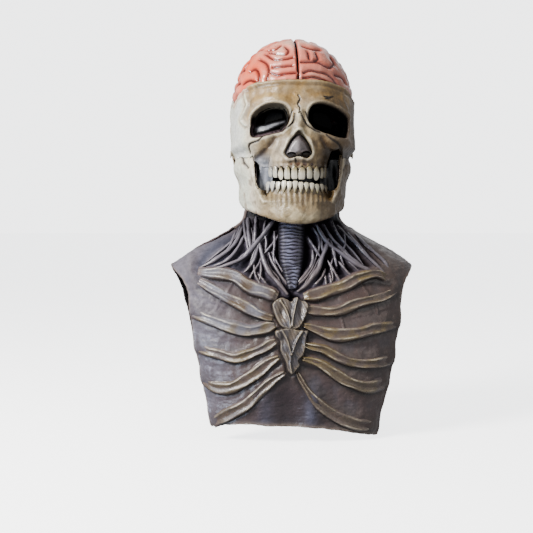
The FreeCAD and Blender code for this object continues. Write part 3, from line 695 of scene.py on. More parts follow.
def bib_grid(zs, columns, edges, hem, front):
    """Rows of a bib half down to its hem; edges gives y of the side edge against z."""
    ez, ey = np.array(edges[::-1], float).T
    y_edge = np.interp(zs, ez, ey)
    start, end = ([torso.share(y, z, left) for y, z in zip(y_edge, zs)]
                  for left in (not front, front))
    if not front:
        end = [1 + share for share in end]
    grid = torso.ring(zs, np.linspace(0, 1, columns), start, end)
    hx, hz = np.array(hem, float).T
    z, bottom = grid[..., 2], zs.min()
    new_z = z + (np.interp(grid[..., 0], hx, hz) - bottom) * smooth(z, bottom + 70, bottom)
    out = grid.copy()
    for c in range(columns):
        for k in (0, 1):
            out[:, c, k] = np.interp(new_z[:, c], zs, grid[:, c, k])
    out[..., 2] = new_z
    return out


FRONT_EDGE = [(-150, 0), (-205, 0), (-207.5, -8), (-210.5, -24), (-214, -34), (-219, -43),
              (-226, -52), (-236, -60.5), (-248, -66.5), (-268, -70), (-300, -71.5), (-470, -70)]
BACK_EDGE = [(-150, 0), (-205, 0), (-207, 8), (-209.5, 20), (-214, 31), (-222, 42), (-234, 52),
             (-250, 60), (-275, 64.5), (-300, 66), (-470, 66)]
FRONT_HEM = [(-190, -446), (-124, -443), (-100, -436), (-70, -434), (-40, -436), (24, -439),
             (62, -445), (103, -454), (125, -459), (190, -461)]
BACK_HEM = [(-190, -440), (-60, -443), (0, -441), (60, -444), (190, -440)]


SHOULDER_Z = -209


def spaced_rows(top, bottom, count, fine_at, gain=3.0):
    """Row heights from the bottom up, closer together near fine_at."""
    z = np.linspace(bottom, top, 2000)
    weight = 1 + gain * bump(z, fine_at, 7)
    run = np.cumsum(weight)
    return np.interp(np.linspace(run[0], run[-1], count), run, z)


def build_skins():
    step = 1
    rows, columns = 212 // step // 2 * 2 + 1, 320 // step // 2 * 2 + 1
    for name, edges, hem, lowest, front in (("front_bib", FRONT_EDGE, FRONT_HEM, -459, True),
                                            ("back_bib", BACK_EDGE, BACK_HEM, -444, False)):
        zs = spaced_rows(-150, lowest, rows, SHOULDER_Z)
        grid = bib_grid(zs, columns, edges, hem, front)
        out, paint, wet, n = skin(grid, front)
        r, c = np.arange(rows), np.arange(columns)
        spacing = 1.45 * step
        to_side = np.where(grid[..., 2] < -206, np.minimum(c, c[::-1]) * spacing, 99)
        near = np.minimum(to_side, r[:, None] * spacing)
        out = out + n * (1.3 * bump(near, 0, 5))[..., None]
        paint = mixed(paint, EDGE_WORN, bump(near, 0, 3.2) * 0.7)
        obj = shell(name, out, BIB_WALL, paint, wet, INSIDE, flush_above=-152)
        place(obj, "mask", "flesh_latex")
    zs = np.linspace(-150, -66, 58 // step // 2 * 2 + 1)
    columns = 300 // step // 2 * 2 + 1
    grid = torso.ring(zs, np.linspace(0, 1, columns))
    flare = 11 * smooth(grid[..., 2], -100, -72) * smooth(grid[..., 1], 14, 40)
    grid = grid + normals_of(grid) * flare[..., None]
    out, paint, wet, _ = skin(grid)
    # Painted shade: the sleeve's front behind the jaw is painted near black and matt.
    shade_behind_jaw = smooth(grid[..., 2], -150, -118) * smooth(grid[..., 1], 10, -10)
    paint, wet = mixed(paint, (0.01, 0.009, 0.01), shade_behind_jaw * 0.92), wet * (1 - shade_behind_jaw)
    place(shell("neck_sleeve", out, NECK_WALL, paint, wet, INSIDE, lip=0.0), "mask", "flesh_latex")


# ---------------------------------------------------------------- raised pieces on the skins
def on_surface(form, line, count, around, section_of, front=True):
    """Rings of a raised strip that follows a line (x, z, half width) over a form.
    section_of(along, across) gives its height above the form; across is -1 below to 1 above."""
    c = path(line, count)
    t = unit_of(np.gradient(c[:, :2], axis=0))
    up = np.stack([-t[:, 1], t[:, 0]], 1)
    up *= np.sign(up[:, 1:2] + 1e-6)
    psi = np.linspace(0, 2 * np.pi, around, endpoint=False)
    across = np.cos(psi)[None, :] * np.ones((count, 1))
    top = np.sin(psi)[None, :] >= -1e-9
    s = np.linspace(0, 1, count)[:, None] * np.ones((1, around))
    half = c[:, 2:3]
    x = c[:, 0:1] + up[:, 0:1] * half * across
    z = c[:, 1:2] + up[:, 1:2] * half * across
    height = np.where(top, section_of(s, across), 0.1 if front else -1.6)
    rings = form.point(x, z, front) + form.normal(x, z, front) * height[..., None]
    return rings, s, across, height, top


def tube_part(rings, paint, wet):
    """The parts of a tube, with its rings ordered so that the faces look outwards."""
    a, b = rings[len(rings) // 2], rings[len(rings) // 2 + 1]
    if np.dot(np.cross(a[1] - a[0], b[0] - a[0]), a[0] - a.mean(0)) <= 0:
        rings, paint, wet = rings[:, ::-1], paint[:, ::-1], wet[:, ::-1]
    return rings, paint, wet


def bone_strip(line, height, seed, front=True, count=110, around=44, ochre=0.5, fade=(0.16, 0.02)):
    """A rib or collar bone: a band that swells out of the skin, with two wandering ridges and a
    steep underside. The ridges are painted pale as highlight and the underside dark as shade."""
    rng = np.random.default_rng(seed)
    a, b, c, e = rng.uniform(0, 6.28, 4)

    def ridges(s, across):
        high = 0.52 + 0.17 * np.sin(s * 6 + a) + 0.06 * np.sin(s * 19 + b)
        low = -0.56 + 0.13 * np.sin(s * 7 + c) + 0.06 * np.sin(s * 23 + e)
        gain_high = 0.6 + 0.4 * np.sin(s * 9 + e) * np.cos(s * 17)
        gain_low = 0.55 + 0.45 * np.sin(s * 8 + b) * np.cos(s * 14 + a)
        return (bump(across, high, 0.10) * gain_high, bump(across, low, 0.10) * gain_low,
                bump(across, high, 0.3), bump(across, low, 0.3))

    def section_of(s, across):
        first, second, wide_first, wide_second = ridges(s, across)
        body = smooth(across, 1.0, 0.4) * smooth(across, -1.0, -0.7)
        grain = 0.035 * np.sin(across * 24 + s * 13 + 2 * np.sin(s * 23 + a))
        swell = 0.86 + 0.14 * np.sin(s * 8 + b) + 0.07 * np.sin(s * 21 + e)
        taper = (0.15 + 0.85 * smooth(s, 0, fade[0])) * (0.2 + 0.8 * smooth(1 - s, 0, fade[1]))
        top = (0.42 + 0.34 * (wide_first + wide_second) + grain) * body + 0.26 * (first + second)
        return height * taper * swell * top + 0.5

    wide = path(line, 14)
    share = np.linspace(0, 1, 14)
    wide[:, 2] *= (1.2 + 0.1 * np.sin(share * 13 + a)) * (0.6 + 0.4 * smooth(1 - share, -0.02, 0.08))
    wide[:, 1] += 0.9 * np.sin(share * 11 + b)
    rings, s, across, _, top = on_surface(torso, wide, count, around, section_of, front)
    first, second = ridges(s, across)[:2]
    lump = waves(rings, 20, seed + 5, 2)
    streak = waves(rings * np.array([0.5, 1, 1.6]), 5, seed + 9, 2)
    drybrush_and_highlight = smooth(streak, -0.7, 0.5)
    grey = smooth(-rings[..., 0], 20, 60) * smooth(rings[..., 2], -345, -290) * smooth(lump, 1.2, -0.6)
    crests = (first ** 1.5 + second ** 1.5) * (0.35 + 0.65 * drybrush_and_highlight)
    paint = painted(
        FLESH_BASE,
        (RIB_BASE, smooth(np.abs(across), 1.0, 0.55)),
        (RIB_OCHRE, smooth(lump, -0.6, 0.6) * ochre * smooth(np.abs(across), 0.95, 0.5)),
        # Painted shade in the valley between the ridges, with random darker streaks.
        ((0.12, 0.085, 0.07), bump(across, 0.0, 0.3) * 0.55 + smooth(-streak, 0.2, 1.0) * 0.3),
        ((0.27, 0.275, 0.315), grey * 0.7 * smooth(np.abs(across), 1.0, 0.6)),
        ((0.13, 0.105, 0.10), smooth(rings[..., 2], -330, -380) * smooth(lump, -0.3, 0.5) * 0.5),
        # Painted highlight along the two crests, broken up like dry-brushed paint.
        ((0.84, 0.76, 0.62), np.clip(crests, 0, 1)),
        # Painted shade along the steep underside and, less, along the upper edge.
        (RIB_DARK, smooth(-across, 0.68, 0.9) * 0.95),
        (RIB_DARK, smooth(across, 0.8, 1.0) * 0.35),
        (FLESH_BASE, smooth(s, fade[0] * 0.9, 0) * 0.6))
    paint = np.where(top[..., None], paint, RIB_DARK)
    return tube_part(rings, paint, 0.25 + 0.25 * smooth(lump, 0, 1))


OCHRE_SHARES = [0.25, 0.6, 0.6, 0.75, 0.4]


def build_ribs():
    for side, ribs, clavicle, ochre in (("right", RIBS_RIGHT, CLAVICLE_RIGHT, 0.2),
                                        ("left", RIBS_LEFT, CLAVICLE_LEFT, 0.7)):
        left = side == "left"
        order = -1 if left else 1
        for i, line in enumerate(ribs, 1):
            part = bone_strip(line[::order], 7.0, 10 * i + left, ochre=OCHRE_SHARES[i - 1])
            place(tubes(f"rib_{i}_{side}", [part]), "mask", "rib_latex")
        part = bone_strip(clavicle[::order], 9.0, 77 + left, ochre=ochre, fade=(0.12, 0.06))
        place(tubes(f"clavicle_{side}", [part]), "mask", "rib_latex")


def build_cords():
    around = 14
    for side, lines in (("right", CORDS_RIGHT), ("left", CORDS_LEFT)):
        parts = []
        for i, (line, thick) in enumerate(lines):
            count = 48
            c = path(line, count)
            s = np.linspace(0, 1, count)[:, None]
            wobble = 1 + 0.14 * np.sin(s * 11 + i) + 0.08 * np.sin(s * 27 + 2 * i)
            taper = (0.5 + 0.5 * smooth(s, 0, 0.16)) * (0.45 + 0.55 * smooth(1 - s, 0, 0.2))
            r = thick * 0.84 * taper * wobble
            t = unit_of(np.gradient(c, axis=0))
            psi = np.linspace(0, 2 * np.pi, around, endpoint=False)[None, :]
            x = c[:, :1] - t[:, 1:2] * r * np.cos(psi)
            z = c[:, 1:2] + t[:, :1] * r * np.cos(psi)
            lift = (r * np.sin(psi) * 1.15 + (thick - 2.6) * 0.9 - 0.6
                    + 1.6 * smooth(1 - np.abs(2 * s - 1), 0, 1))
            rings = torso.point(x, z) + torso.normal(x, z) * np.minimum(lift, 6.5)[..., None]
            up = np.sin(psi) * np.ones_like(s)
            paint = painted(
                NECK_BASE,
                # Painted highlight along the top of each cord and painted shade down its sides.
                (NECK_PALE, smooth(up, 0.55, 1.0) * 0.7),
                (NECK_DARK, smooth(-up, -0.5, 0.2) * 0.95),
                ((0.22, 0.16, 0.125), 0.45 * smooth(-z, 190, 225) * smooth(up, 0, 0.8)),
                # Painted shadow under the jaw: darker towards the cords' top ends.
                (NECK_DARK, 0.5 * smooth(z, -172, -146)))
            parts.append(tube_part(rings, paint, 0.2 * np.ones(up.shape)))
        place(tubes(f"neck_cords_{side}", parts), "mask", "sinew_latex")


TRACHEA_RINGS = 19


def build_trachea():
    count = 220
    around = 44

    def section_of(s, across):
        phase = (s * 2 * np.pi * TRACHEA_RINGS + 0.9 * np.sin(across * 3 + s * 9)
                 + 0.6 * np.sin(s * 37) + 0.5 * np.sin(across * 7 - s * 31))
        ring = (0.5 + 0.5 * np.sin(phase)) ** 0.7
        return (5.2 * np.clip(1 - np.abs(across) ** 2.2, 0, 1) ** 0.55 * (1 - 0.25 * s)
                + 1.9 * ring * np.clip(1 - np.abs(across) ** 4, 0, 1) - 0.6)

    rings, _, across, h, _ = on_surface(torso, TRACHEA, count, around, section_of)
    groove = smooth(blurred(h, 3) - h, -0.5, 0.6)
    sheen = bump(across, 0.22, 0.3)
    paint = painted(
        (0.10, 0.09, 0.12),
        # Painted highlight on the raised rings.
        ((0.27, 0.26, 0.33), smooth(-groove, -0.5, 0.0) * 0.6),
        ((0.46, 0.48, 0.64), sheen * smooth(-groove, -0.6, 0.0) * 0.45),
        # Painted shade in the grooves, along the edges and down one side.
        (NECK_DARK, groove * 0.85),
        (NECK_DARK, smooth(np.abs(across), 0.6, 1.0) * 0.9),
        (NECK_DARK, smooth(-across, 0.0, 0.7) * 0.45))
    part = tube_part(rings, paint, 0.7 - 1.6 * smooth(np.abs(across), 0.45, 0.8))
    place(tubes("trachea", [part]), "mask", "trachea_latex")


def patch(name, form, outline, height_of, colour_of, front=True, rings=26, around=96, skirt=2.0):
    """A raised plate with this outline in (x, z). height_of(x, z, inside) gives its height."""
    edge = loop(outline, around)
    centre = edge.mean(0)
    r = np.linspace(0.02, 1, rings)[:, None, None]
    flat = centre + (edge - centre)[None] * r
    x, z = flat[..., 0], flat[..., 1]
    inside = inside_distance(x, z, edge)
    h = height_of(x, z, np.maximum(inside, 0))
    base, n = form.point(x, z, front), form.normal(x, z, front)
    top = base + n * h[..., None]
    low = top[-1] - n[-1] * (h[-1][:, None] + skirt)
    floor = low.mean(0) + (low - low.mean(0)) * 0.02
    grid = np.concatenate([top, low[None], floor[None]])
    paint, wet = colour_of(x, z, inside, h)
    paint = np.concatenate([paint, paint[-1:] * 0.4, paint[-1:] * 0.4])
    wet = np.concatenate([wet, wet[-1:], wet[-1:]])
    k = rings // 2
    face = np.cross(grid[k, 1] - grid[k, 0], grid[k + 1, 0] - grid[k, 0])
    if np.dot(face, n[k, 0]) < 0:
        grid, paint, wet = grid[:, ::-1], paint[:, ::-1], wet[:, ::-1]
    return tubes(name, [(grid, paint, wet)])


def plate_colour(x, z, inside, h):
    relief = h - blurred(h, 2)
    shade = waves(np.stack([x, 0 * x, z], -1), 14, 21, 2)
    drybrush_and_highlight = (smooth(relief, 0.14, 0.6) * 0.5 * (0.3 + 0.7 * smooth(inside, 1.5, 3.5))
            + bump(inside, 1.0, 0.5) * 0.2)
    wash_and_shade = smooth(-relief, 0.1, 0.7) * 0.7 + smooth(inside, 0.5, 0.0) * 0.7
    paint = painted(
        (0.125, 0.112, 0.115),
        ((0.20, 0.165, 0.135), smooth(shade, -0.5, 0.6)),
        # Painted highlight on the ridges and round the rim, partly dry-brushed paint.
        (RIB_PALE, np.clip(drybrush_and_highlight, 0, 1)),
        # Painted shade in the hollows and round the edge, over the mask's own dark wash.
        (RIB_DARK, np.clip(wash_and_shade, 0, 1)))
    return paint, 0.3 * np.ones(x.shape)


def build_plates():
    def leaf(ridges, hollows):
        def height_of(x, z, inside):
            h = 7.6 * smooth(inside, -0.4, 2.4)
            h = h + 0.5 * bump(inside, 1.6, 0.9) * (0.6 + 0.6 * np.sin(x * 0.9 + z * 0.7))
            for points, gain, width in ridges:
                ridge = bump(off_line(x, z, points, 20), 0, width)
                h = h + gain * ridge * smooth(inside, -0.2, 1.2)
            for (cx, cz), (wx, wz), gain in hollows:
                h = h - gain * np.exp(-((x - cx) / wx) ** 2 - ((z - cz) / wz) ** 2)
            crest = 1.2 * smooth(z, -312, -298) * smooth(z, -290, -297)
            return h + 0.25 * np.sin(x * 1.3 + z * 0.6) + crest
        return height_of

    upper = leaf([([(-26, -258), (-19, -269), (-14.5, -282), (-12.6, -293)], 3.4, 1.5),
                  ([(-2, -255), (-6, -269), (-9, -282), (-10, -292)], 3.2, 1.5)],
                 [((-24, -272), (4.5, 12), 3.6), ((3, -271), (4.5, 12), 4.2),
                  ((-11, -266), (4.5, 12), 1.8)])
    lower = leaf([([(-25, -297), (-17, -312), (-12, -331)], 3.2, 1.5),
                  ([(5, -298), (-5, -315), (-10.6, -331)], 3.2, 1.5),
                  ([(-11.5, -331), (-13, -345), (-10.6, -359)], 2.6, 1.5),
                  ([(-19, -332), (-15, -345), (-11, -358)], 1.2, 1.2)],
                 [((-23, -312), (4, 11), 2.8), ((2, -314), (5, 13), 3.0),
                  ((-10.5, -304), (5, 10), 2.0)])
    upper_outline = [(-11 + (x + 11) * 1.12, -272 + (z + 272) * (1.08 if z > -272 else 1.17))
                     for x, z in MANUBRIUM]
    lower_outline = [(-10.5 + (x + 10.5) * 1.14, z) for x, z in STERNUM]
    for name, outline, heights in (("manubrium", upper_outline, upper),
                                   ("sternum_body", lower_outline, lower)):
        obj = patch(name, torso, outline, heights, plate_colour, rings=36, around=150)
        place(obj, "mask", "rib_latex")


# ---------------------------------------------------------------- skull
ORBIT_RIGHT = [(-68.5, -3), (-66.5, 8.5), (-60.5, 17.5), (-50.5, 24), (-40, 27), (-30, 27),
               (-20.5, 24.5), (-14.8, 18), (-13, 9.5), (-14.1, 0), (-19, -8), (-25.2, -13.5),
               (-35, -16), (-46, -19), (-54.5, -21), (-62.8, -20.5), (-67, -16.5), (-68.8, -11)]
ORBIT_LEFT = [(13.1, 8.5), (13.7, 16), (19.3, 25), (29.4, 28), (42.2, 27), (52.6, 24), (63, 18.3),
              (71, 11), (75, 3.5), (76.3, -5), (73.7, -14), (68.5, -20), (58, -20.5), (45, -16.5),
              (32.3, -12.5), (20.6, -7.5), (14.9, 1)]
HOLLOW_RIGHT = [(-59, -78), (-59.5, -58), (-62.5, -48), (-67, -45), (-72, -49), (-77, -78)]
HOLLOW_LEFT = [(44, -78), (44.5, -54), (51, -38), (60, -34), (71, -42), (77, -78)]
NOSE = [(0, -12), (9, -21), (18, -35), (20, -43), (14, -51), (0, -48.5), (-15, -51), (-21, -43),
        (-18, -35), (-9, -21)]
CUT = [(-95, 30), (-90, 37), (-84, 46), (-78, 52), (-70, 57), (-56, 60), (-43, 61), (-20, 62.5),
       (0, 62.5), (27, 62), (50, 60), (64, 57), (77, 52.5), (84, 47), (90, 40), (95, 34)]
SKULL_LOW = [(-150, -62), (-94, -62), (-86, -50), (-50, -46), (-12, -48), (14, -50), (20, -58),
             (32, -72), (66, -82), (130, -88)]
NOSTRILS = [(-10.5, -46.0, 5.2, 2.5), (10.5, -45.0, 5.6, 3.0)]
CRACKS = [[(-1, 40), (1.5, 33), (-1.5, 27), (1, 20), (-0.5, 13)],
          [(-6, 12), (-8, 1), (-15, -6.5), (-19, -9), (-24, -13)],
          [(1.5, 15.6), (5, 6.4), (12.5, -4.7), (20, -10), (31, -14)],
          [(-50, -20), (-54, -25), (-67, -30), (-71, -43)],
          [(40, -17), (44, -21), (58, -30), (69, -44)],
          [(36, 38), (44, 37), (51, 39)], [(38, 35), (46, 35)], [(-5, -52), (-4, -59)],
          [(-10, 16), (-13, 7), (-19, -2), (-27, -8)], [(9, 15), (13, 5), (19, -3), (27, -9)]]
UPPER_EDGES = [-40.5, -35.0, -28.5, -20.3, -11.6, -1.5, 10.1, 19.3, 30.4, 36.0, 41.0]
LOWER_EDGES = [-44, -38.5, -32, -24.5, -17, -9.2, -1.4, 6.4, 14.2, 22.0, 29.6, 36.5, 42.5]


def arch_y(x, half, centre, depth):
    return centre - depth * np.sqrt(np.clip(1 - (x / half) ** 2, 0.0, 1))


def middles_of(edges):
    """Middles of the teeth between these edges."""
    edges = np.array(edges)
    return (edges[1:] + edges[:-1]) / 2


def humps(x, middles, width):
    return np.max([bump(x, middle, width) for middle in middles], axis=0)


def cut_plane(y):
    """Height of the plane that the skull is sawn along, under the brain."""
    return 62.0 - 0.22 * (y + 107)


def between(form, columns, low, high, rows):
    """Rows of points on a form from the curve z = low(x, y) up to z = high(x, y)."""
    zs = np.linspace(form.z[0], form.z[-1], 420)
    dense = form.ring(zs, columns)
    out = np.empty((rows, len(columns), 3))
    t = np.linspace(0, 1, rows)
    for c in range(len(columns)):
        x, y = dense[:, c, 0], dense[:, c, 1]
        bottom = np.interp(0, zs - low(x, y), zs)
        top = np.interp(0, zs - high(x, y), zs)
        z = bottom + (top - bottom) * t
        out[:, c] = np.stack([np.interp(z, zs, x), np.interp(z, zs, y), z], 1)
    return out


def uneven(count, gain=1.4):
    """Shares of the way round, closer together in front."""
    u = np.linspace(0, 1, 4000)
    weight = 1 + gain * smooth(np.abs(u - 0.5), 0.34, 0.26)
    run = np.r_[0, np.cumsum((weight[1:] + weight[:-1]) / 2)]
    return np.interp(np.linspace(0, run[-1], count), run, u)


def build_skull():
    step = 1
    columns = uneven(470 // step // 2 * 2 + 1)
    rows = 130 // step // 2 * 2 + 1
    cx, cz = np.array(CUT, float).T
    ly, lz = np.array(SKULL_LOW, float).T

    middles = middles_of(UPPER_EDGES)

    def low(x, y):
        between_teeth = (1 - humps(x, middles, 2.9)) * smooth(np.abs(x), 43, 39) * (y < -60)
        return np.interp(y, ly, lz) - 4.5 * between_teeth

    def high(x, y):
        plane = cut_plane(y)
        return plane + (np.interp(x, cx, cz) - plane) * smooth(y, -10, -45)

    g = between(head, columns, low, high, rows)
    x, y, z = g[..., 0], g[..., 1], g[..., 2]
    tall = g[-1:, :, 2] - g[:1, :, 2]
    top, bottom = (np.linspace(a, 1 - a, rows)[:, None] * tall for a in (1, 0))
    front = smooth(y, -25, -45)
    lump, grain = waves(g, 30, 11), waves(g, 7, 12)
    d = 0.7 * lump + 0.22 * grain
    ax = np.abs(x)

    def opening(*outlines):
        """How far inside one of these outlines each point of the face is."""
        deep = np.max([inside_distance(x, z, np.array(line)) for line in outlines], axis=0)
        return np.where(y < -30, deep, -60)

    orbit = opening(loop(ORBIT_RIGHT, 70), loop(ORBIT_LEFT, 70))
    upper_rim = smooth(z, -4, 14)
    d += front * (1.9 * bump(orbit, -2.0, 2.4) * (0.6 + 0.7 * upper_rim))
    for side in (-1, 1):
        brow = [(12 * side, 24), (26 * side, 33), (44 * side, 34), (62 * side, 27), (73 * side, 14)]
        d += 3.0 * bump(off_line(x, z, brow, 20), 0, 7) * front
        boss = np.hypot(x - 36 * side, (z - 48) * 1.1)
        d += 1.6 * bump(boss, 0, 18) * front
    d += 2.6 * bump(np.hypot(x, (z - 24) * 0.8), 0, 13) * front
    d -= 1.5 * bump(z, 43, 6) * front * bump(x, 0, 60)
    bridge = bump(x, 0, 8.5) * smooth(z, 30, 8) * smooth(z, -30, -8)
    d += 7.0 * bridge * front
    side_nose = bump(ax, 17, 6) * smooth(z, 8, -6) * smooth(z, -52, -34)
    d += 2.5 * side_nose * front

    cheek = np.hypot((ax - 60) / 20, (z + 23 + 0.12 * (ax - 50)) / 9.5)
    d += 5.5 * np.exp(-cheek ** 2) * front * smooth(ax, 88, 74)
    arch = off_line(y, z, [(-92, -22), (-62, -30), (-30, -33), (2, -31)], 24)
    d += 1.4 * bump(arch, 0, 6.5) * smooth(ax, 55, 75) * smooth(y, 6, -8)
    fossa = np.hypot((y + 38) / 27, (z - 12) / 27)
    d -= 2.0 * np.exp(-fossa ** 2.4) * smooth(ax, 60, 80)
    under_arch = bump(z, -42, 7) * smooth(y, 10, -10) * smooth(ax, 55, 75)
    d -= 2.0 * under_arch
    line = off_line(ax, z, [(70, 54), (66, 40), (71, 22), (73, 10), (70, 0)], 20)
    d += 1.3 * bump(line, 0, 3) * front * (x > 0)
    temple = off_line(x, z, [(-76, 50), (-75, 41), (-72, 27), (-77, 15), (-81, 6), (-75, -2)], 30)
    d += (2.3 * bump(temple, 0, 2.0) - 0.7 * bump(temple, 4.2, 2.0)) * front
    mastoid = np.hypot((y - 32) / 16, (z + 48) / 18)
    d += 3.0 * np.exp(-mastoid ** 2) * smooth(ax, 50, 75)
    nape = off_line(ax, z, [(0, -28), (30, -33), (60, -40), (80, -44)], 16)
    d += 2.0 * bump(nape, 0, 5) * smooth(y, 30, 60)
    d += 2.2 * bump(np.hypot(x, z + 27), 0, 9) * smooth(y, 30, 60)

    hollow = opening(HOLLOW_RIGHT, HOLLOW_LEFT)
    crease, along = line_distance(ax, z, path([(35, -24), (41, -32), (49, -42), (59, -52)], 20))
    d -= 5.0 * bump(crease, 0, 5.5) * (0.55 + 0.45 * bump(along, 0.25, 0.3)) * front
    nose = opening(loop(NOSE, 60))
    d += 1.8 * bump(nose, -2, 2.6) - 6.5 * smooth(nose, -0.5, 2.5)

    crack = np.zeros(x.shape)
    for points in CRACKS:
        far, along = line_distance(x, z, path(points, 16))
        crack = np.maximum(crack, bump(far, 0, 0.95 + 0.6 * bump(along, 0.5, 0.3)) * (y < -20))
    for across, seam, count, way, here in (
            (y, [(6, 44), (2, 26), (8, 6), (4, -10), (10, -24)], 30, [1, 0], ax > 60),
            (ax, [(0, 14), (18, 6), (34, -6), (48, -22), (60, -40)], 40, [0, 1], y > 40)):
        zigzag = path(seam, count) + 1.6 * np.sin(np.arange(count) * 2.4)[:, None] * way
        suture = line_distance(across, z, zigzag)[0]
        crack = np.maximum(crack, 0.8 * bump(suture, 0, 0.9) * here)
    d += 1.0 * bump(crack, 0.35, 0.25) - 1.9 * crack

    d += (1.5 * bump(top, 2.2, 2.4) - 0.9 * bump(top, 7.5, 2.6)) * (0.25 + 0.75 * smooth(ax, 88, 72))
    d -= 4.2 * smooth(bottom, 18, 0) * smooth(ax, 60, 78)

    # The upper jaw follows the arch of the teeth.
    jaw_share = smooth(z, -36, -57) * smooth(ax, 67, 60) * (y < -30)
    roots = humps(x, middles, 2.6)
    target = arch_y(np.clip(x, -39.5, 39.5), 40.5, -72, 41.5) - 1.3 * roots * smooth(z, -42, -54)
    target = target + 2.6 * smooth(z, -53.5, -59)
    moved = g.copy()
    moved[..., 1] += (target - y) * jaw_share
    n = normals_of(moved)

    pit = 18 * smooth(orbit, -0.6, 4.2)
    pit_cheek = 13 * smooth(hollow, -0.8, 5.0)
    out = moved + n * d[..., None]
    out[..., 1] += (pit + pit_cheek) * 0.95
    out[..., 0] -= np.sign(x) * 0.12 * (pit + pit_cheek)
    sill, along = line_distance(x, z, path([(-60, -7.5), (-50, -6), (-38, -2), (-22, 3)], 20))
    holes = ((orbit > 11.5) & (sill > 6.6)) | (hollow > 6.5)

    total = d - 1.2 * (pit + pit_cheek)
    relief = total - blurred(total, 5)
    fine = d - blurred(d, 2)
    cool = waves(g, 46, 15)
    blotch = waves(g, 15, 17)
    brow_wash = smooth(z, 22, 40) * front * (0.75 + 0.25 * smooth(blotch, -0.5, 0.5))
    left_painted_light = smooth(-x, 46 + 22 * smooth(z, -8, 10), 84) * smooth(y, 30, -20)
    muzzle = np.exp(-np.hypot((x + 32) / 15, (z + 44) / 22) ** 2) * front
    crease_and_socket_shade = np.clip(bump(orbit, 0.5, 4.0) * 0.35
                    + bump(crease, 0, 4.6) * 0.72 * (1 + 0.3 * smooth(x, 0, 20)), 0, 1)
    shade_right = smooth(x, 2, 56) * front * smooth(z, 74, 6)
    jowl = smooth(z, -24, -44) * smooth(ax, 26, 44) * front * smooth(x, -10, 20)
    pale_jowl = smooth(z, -42, -56) * smooth(-x, 34, 44) * smooth(-x, 66, 58) * front
    low_wall = smooth(orbit, 7.5, 3.0) * smooth(z, 4, -6) * smooth(-x, 10, 20)
    bright = bump(sill, 0, 3.3 - 1.7 * along) * (1 - 0.72 * along)
    roof = smooth(orbit, -0.4, 0.8) * smooth(orbit, 7.0, 3.0) * smooth(z, 7, 14) * smooth(-x, 12, 20)
    philtrum = bump(z, -55.5, 4.0) * smooth(ax, 24, 10) * front
    gum_line = smooth(z, -46, -60) * smooth(ax, 43, 39) * (y < -60)
    pink = smooth(-x, 62, 84) * smooth(top, 16, 0) * front
    paint = painted(
        (0.50, 0.37, 0.22),
        ((0.66, 0.54, 0.36), smooth(lump, -0.4, 0.8)),
        ((0.21, 0.165, 0.105), smooth(cool, -0.05, 0.9) * 0.55),
        ((0.33, 0.32, 0.31), smooth(-cool, 0.2, 0.9) * 0.45),
        ((0.15, 0.10, 0.06), smooth(blotch, 0.25, 1.1) * 0.5),
        # Painted shade in the hollows and painted highlight on the ridges, partly the mask's own
        # dark wash and dry-brushed paint.
        ((0.15, 0.10, 0.055), smooth(-relief, 0.15, 1.6) * 0.85),
        ((0.82, 0.74, 0.58),
         np.clip(smooth(relief, 0.4, 1.8) * 0.7 + smooth(fine, 0.06, 0.4) * 0.25, 0, 1)),
        ((0.42, 0.26, 0.105), brow_wash * 0.6),
        ((0.14, 0.10, 0.055), bump(z, 50, 7) * smooth(cool, -0.5, 0.6) * front * 0.45),
        # Painted light: the -X side pale, as if lit from that side.
        ((1.0, 0.94, 0.81), left_painted_light * 0.88),
        # Painted highlight over the upper jaw on the -X side.
        ((0.80, 0.70, 0.58), muzzle * 0.55),
        ((0.34, 0.27, 0.18), bump(temple, 3.6, 2.0) * front * 0.4),
        ((0.90, 0.82, 0.66), bump(temple, 0, 1.2) * front * 0.8),
        # Painted shade in the cheek crease and just inside the socket rims.
        ((0.12, 0.075, 0.045), crease_and_socket_shade * front),
        ((0.15, 0.085, 0.036), shade_right * 0.78),
        # Painted shade towards the back of the +X side.
        ((0.09, 0.065, 0.045), smooth(x, 76, 92) * smooth(y, 20, -20) * 0.5),
        # Painted shade in the +X cheek hollow.
        ((0.06, 0.042, 0.028), jowl * 0.8),
        # Painted light: pale blue-grey low on the -X side, matching the web below.
        ((0.50, 0.52, 0.57), pale_jowl * 0.85),
        # Painted shade: the sockets' walls dark at the rim and near black further in.
        ((0.13, 0.105, 0.095), smooth(orbit, -0.8, 0.3) * 0.85),
        ((0.002, 0.002, 0.002), smooth(orbit, 0.0, 1.3) * 0.99),
        # Painted light inside the -X socket: the lower wall lit and a highlight across its floor.
        ((0.26, 0.20, 0.215), low_wall * smooth(orbit, 0.6, 2.4) * 0.75),
        ((0.44, 0.44, 0.47), bright * 0.9 * smooth(orbit, 2.5, 5)),
        # Painted light on the -X socket's roof.
        ((0.30, 0.265, 0.21), roof * 0.9),
        # Painted shade: the walls of the cheek openings near black.
        ((0.008, 0.006, 0.005), smooth(hollow, 0, 3.0) * 0.97),
        ((0.17, 0.14, 0.125), philtrum * 0.7),
        ((0.02, 0.014, 0.011), bump(nose, 0.6, 1.1) * (0.2 + 0.65 * smooth(z, -42, -34))),
        ((0.035, 0.020, 0.012), np.clip(crack * 1.3, 0, 1) * 0.93),
        ((0.14, 0.10, 0.07), gum_line * (0.6 - 0.45 * roots)),
        ((0.012, 0.008, 0.006), bump(bottom, 0, 1.0) * smooth(ax, 44, 41) * (y < -60) * 0.9),
        ((0.09, 0.05, 0.028), bump(top, 6.5, 2.2) * 0.35),
        ((0.62, 0.30, 0.24), pink * 0.5))
    matt = np.maximum(smooth(orbit, -0.3, 1), smooth(hollow, 0, 3)) * (bright < 0.3)
    wet = 0.1 + 0.2 * smooth(lump, 0, 1) - 1.6 * matt
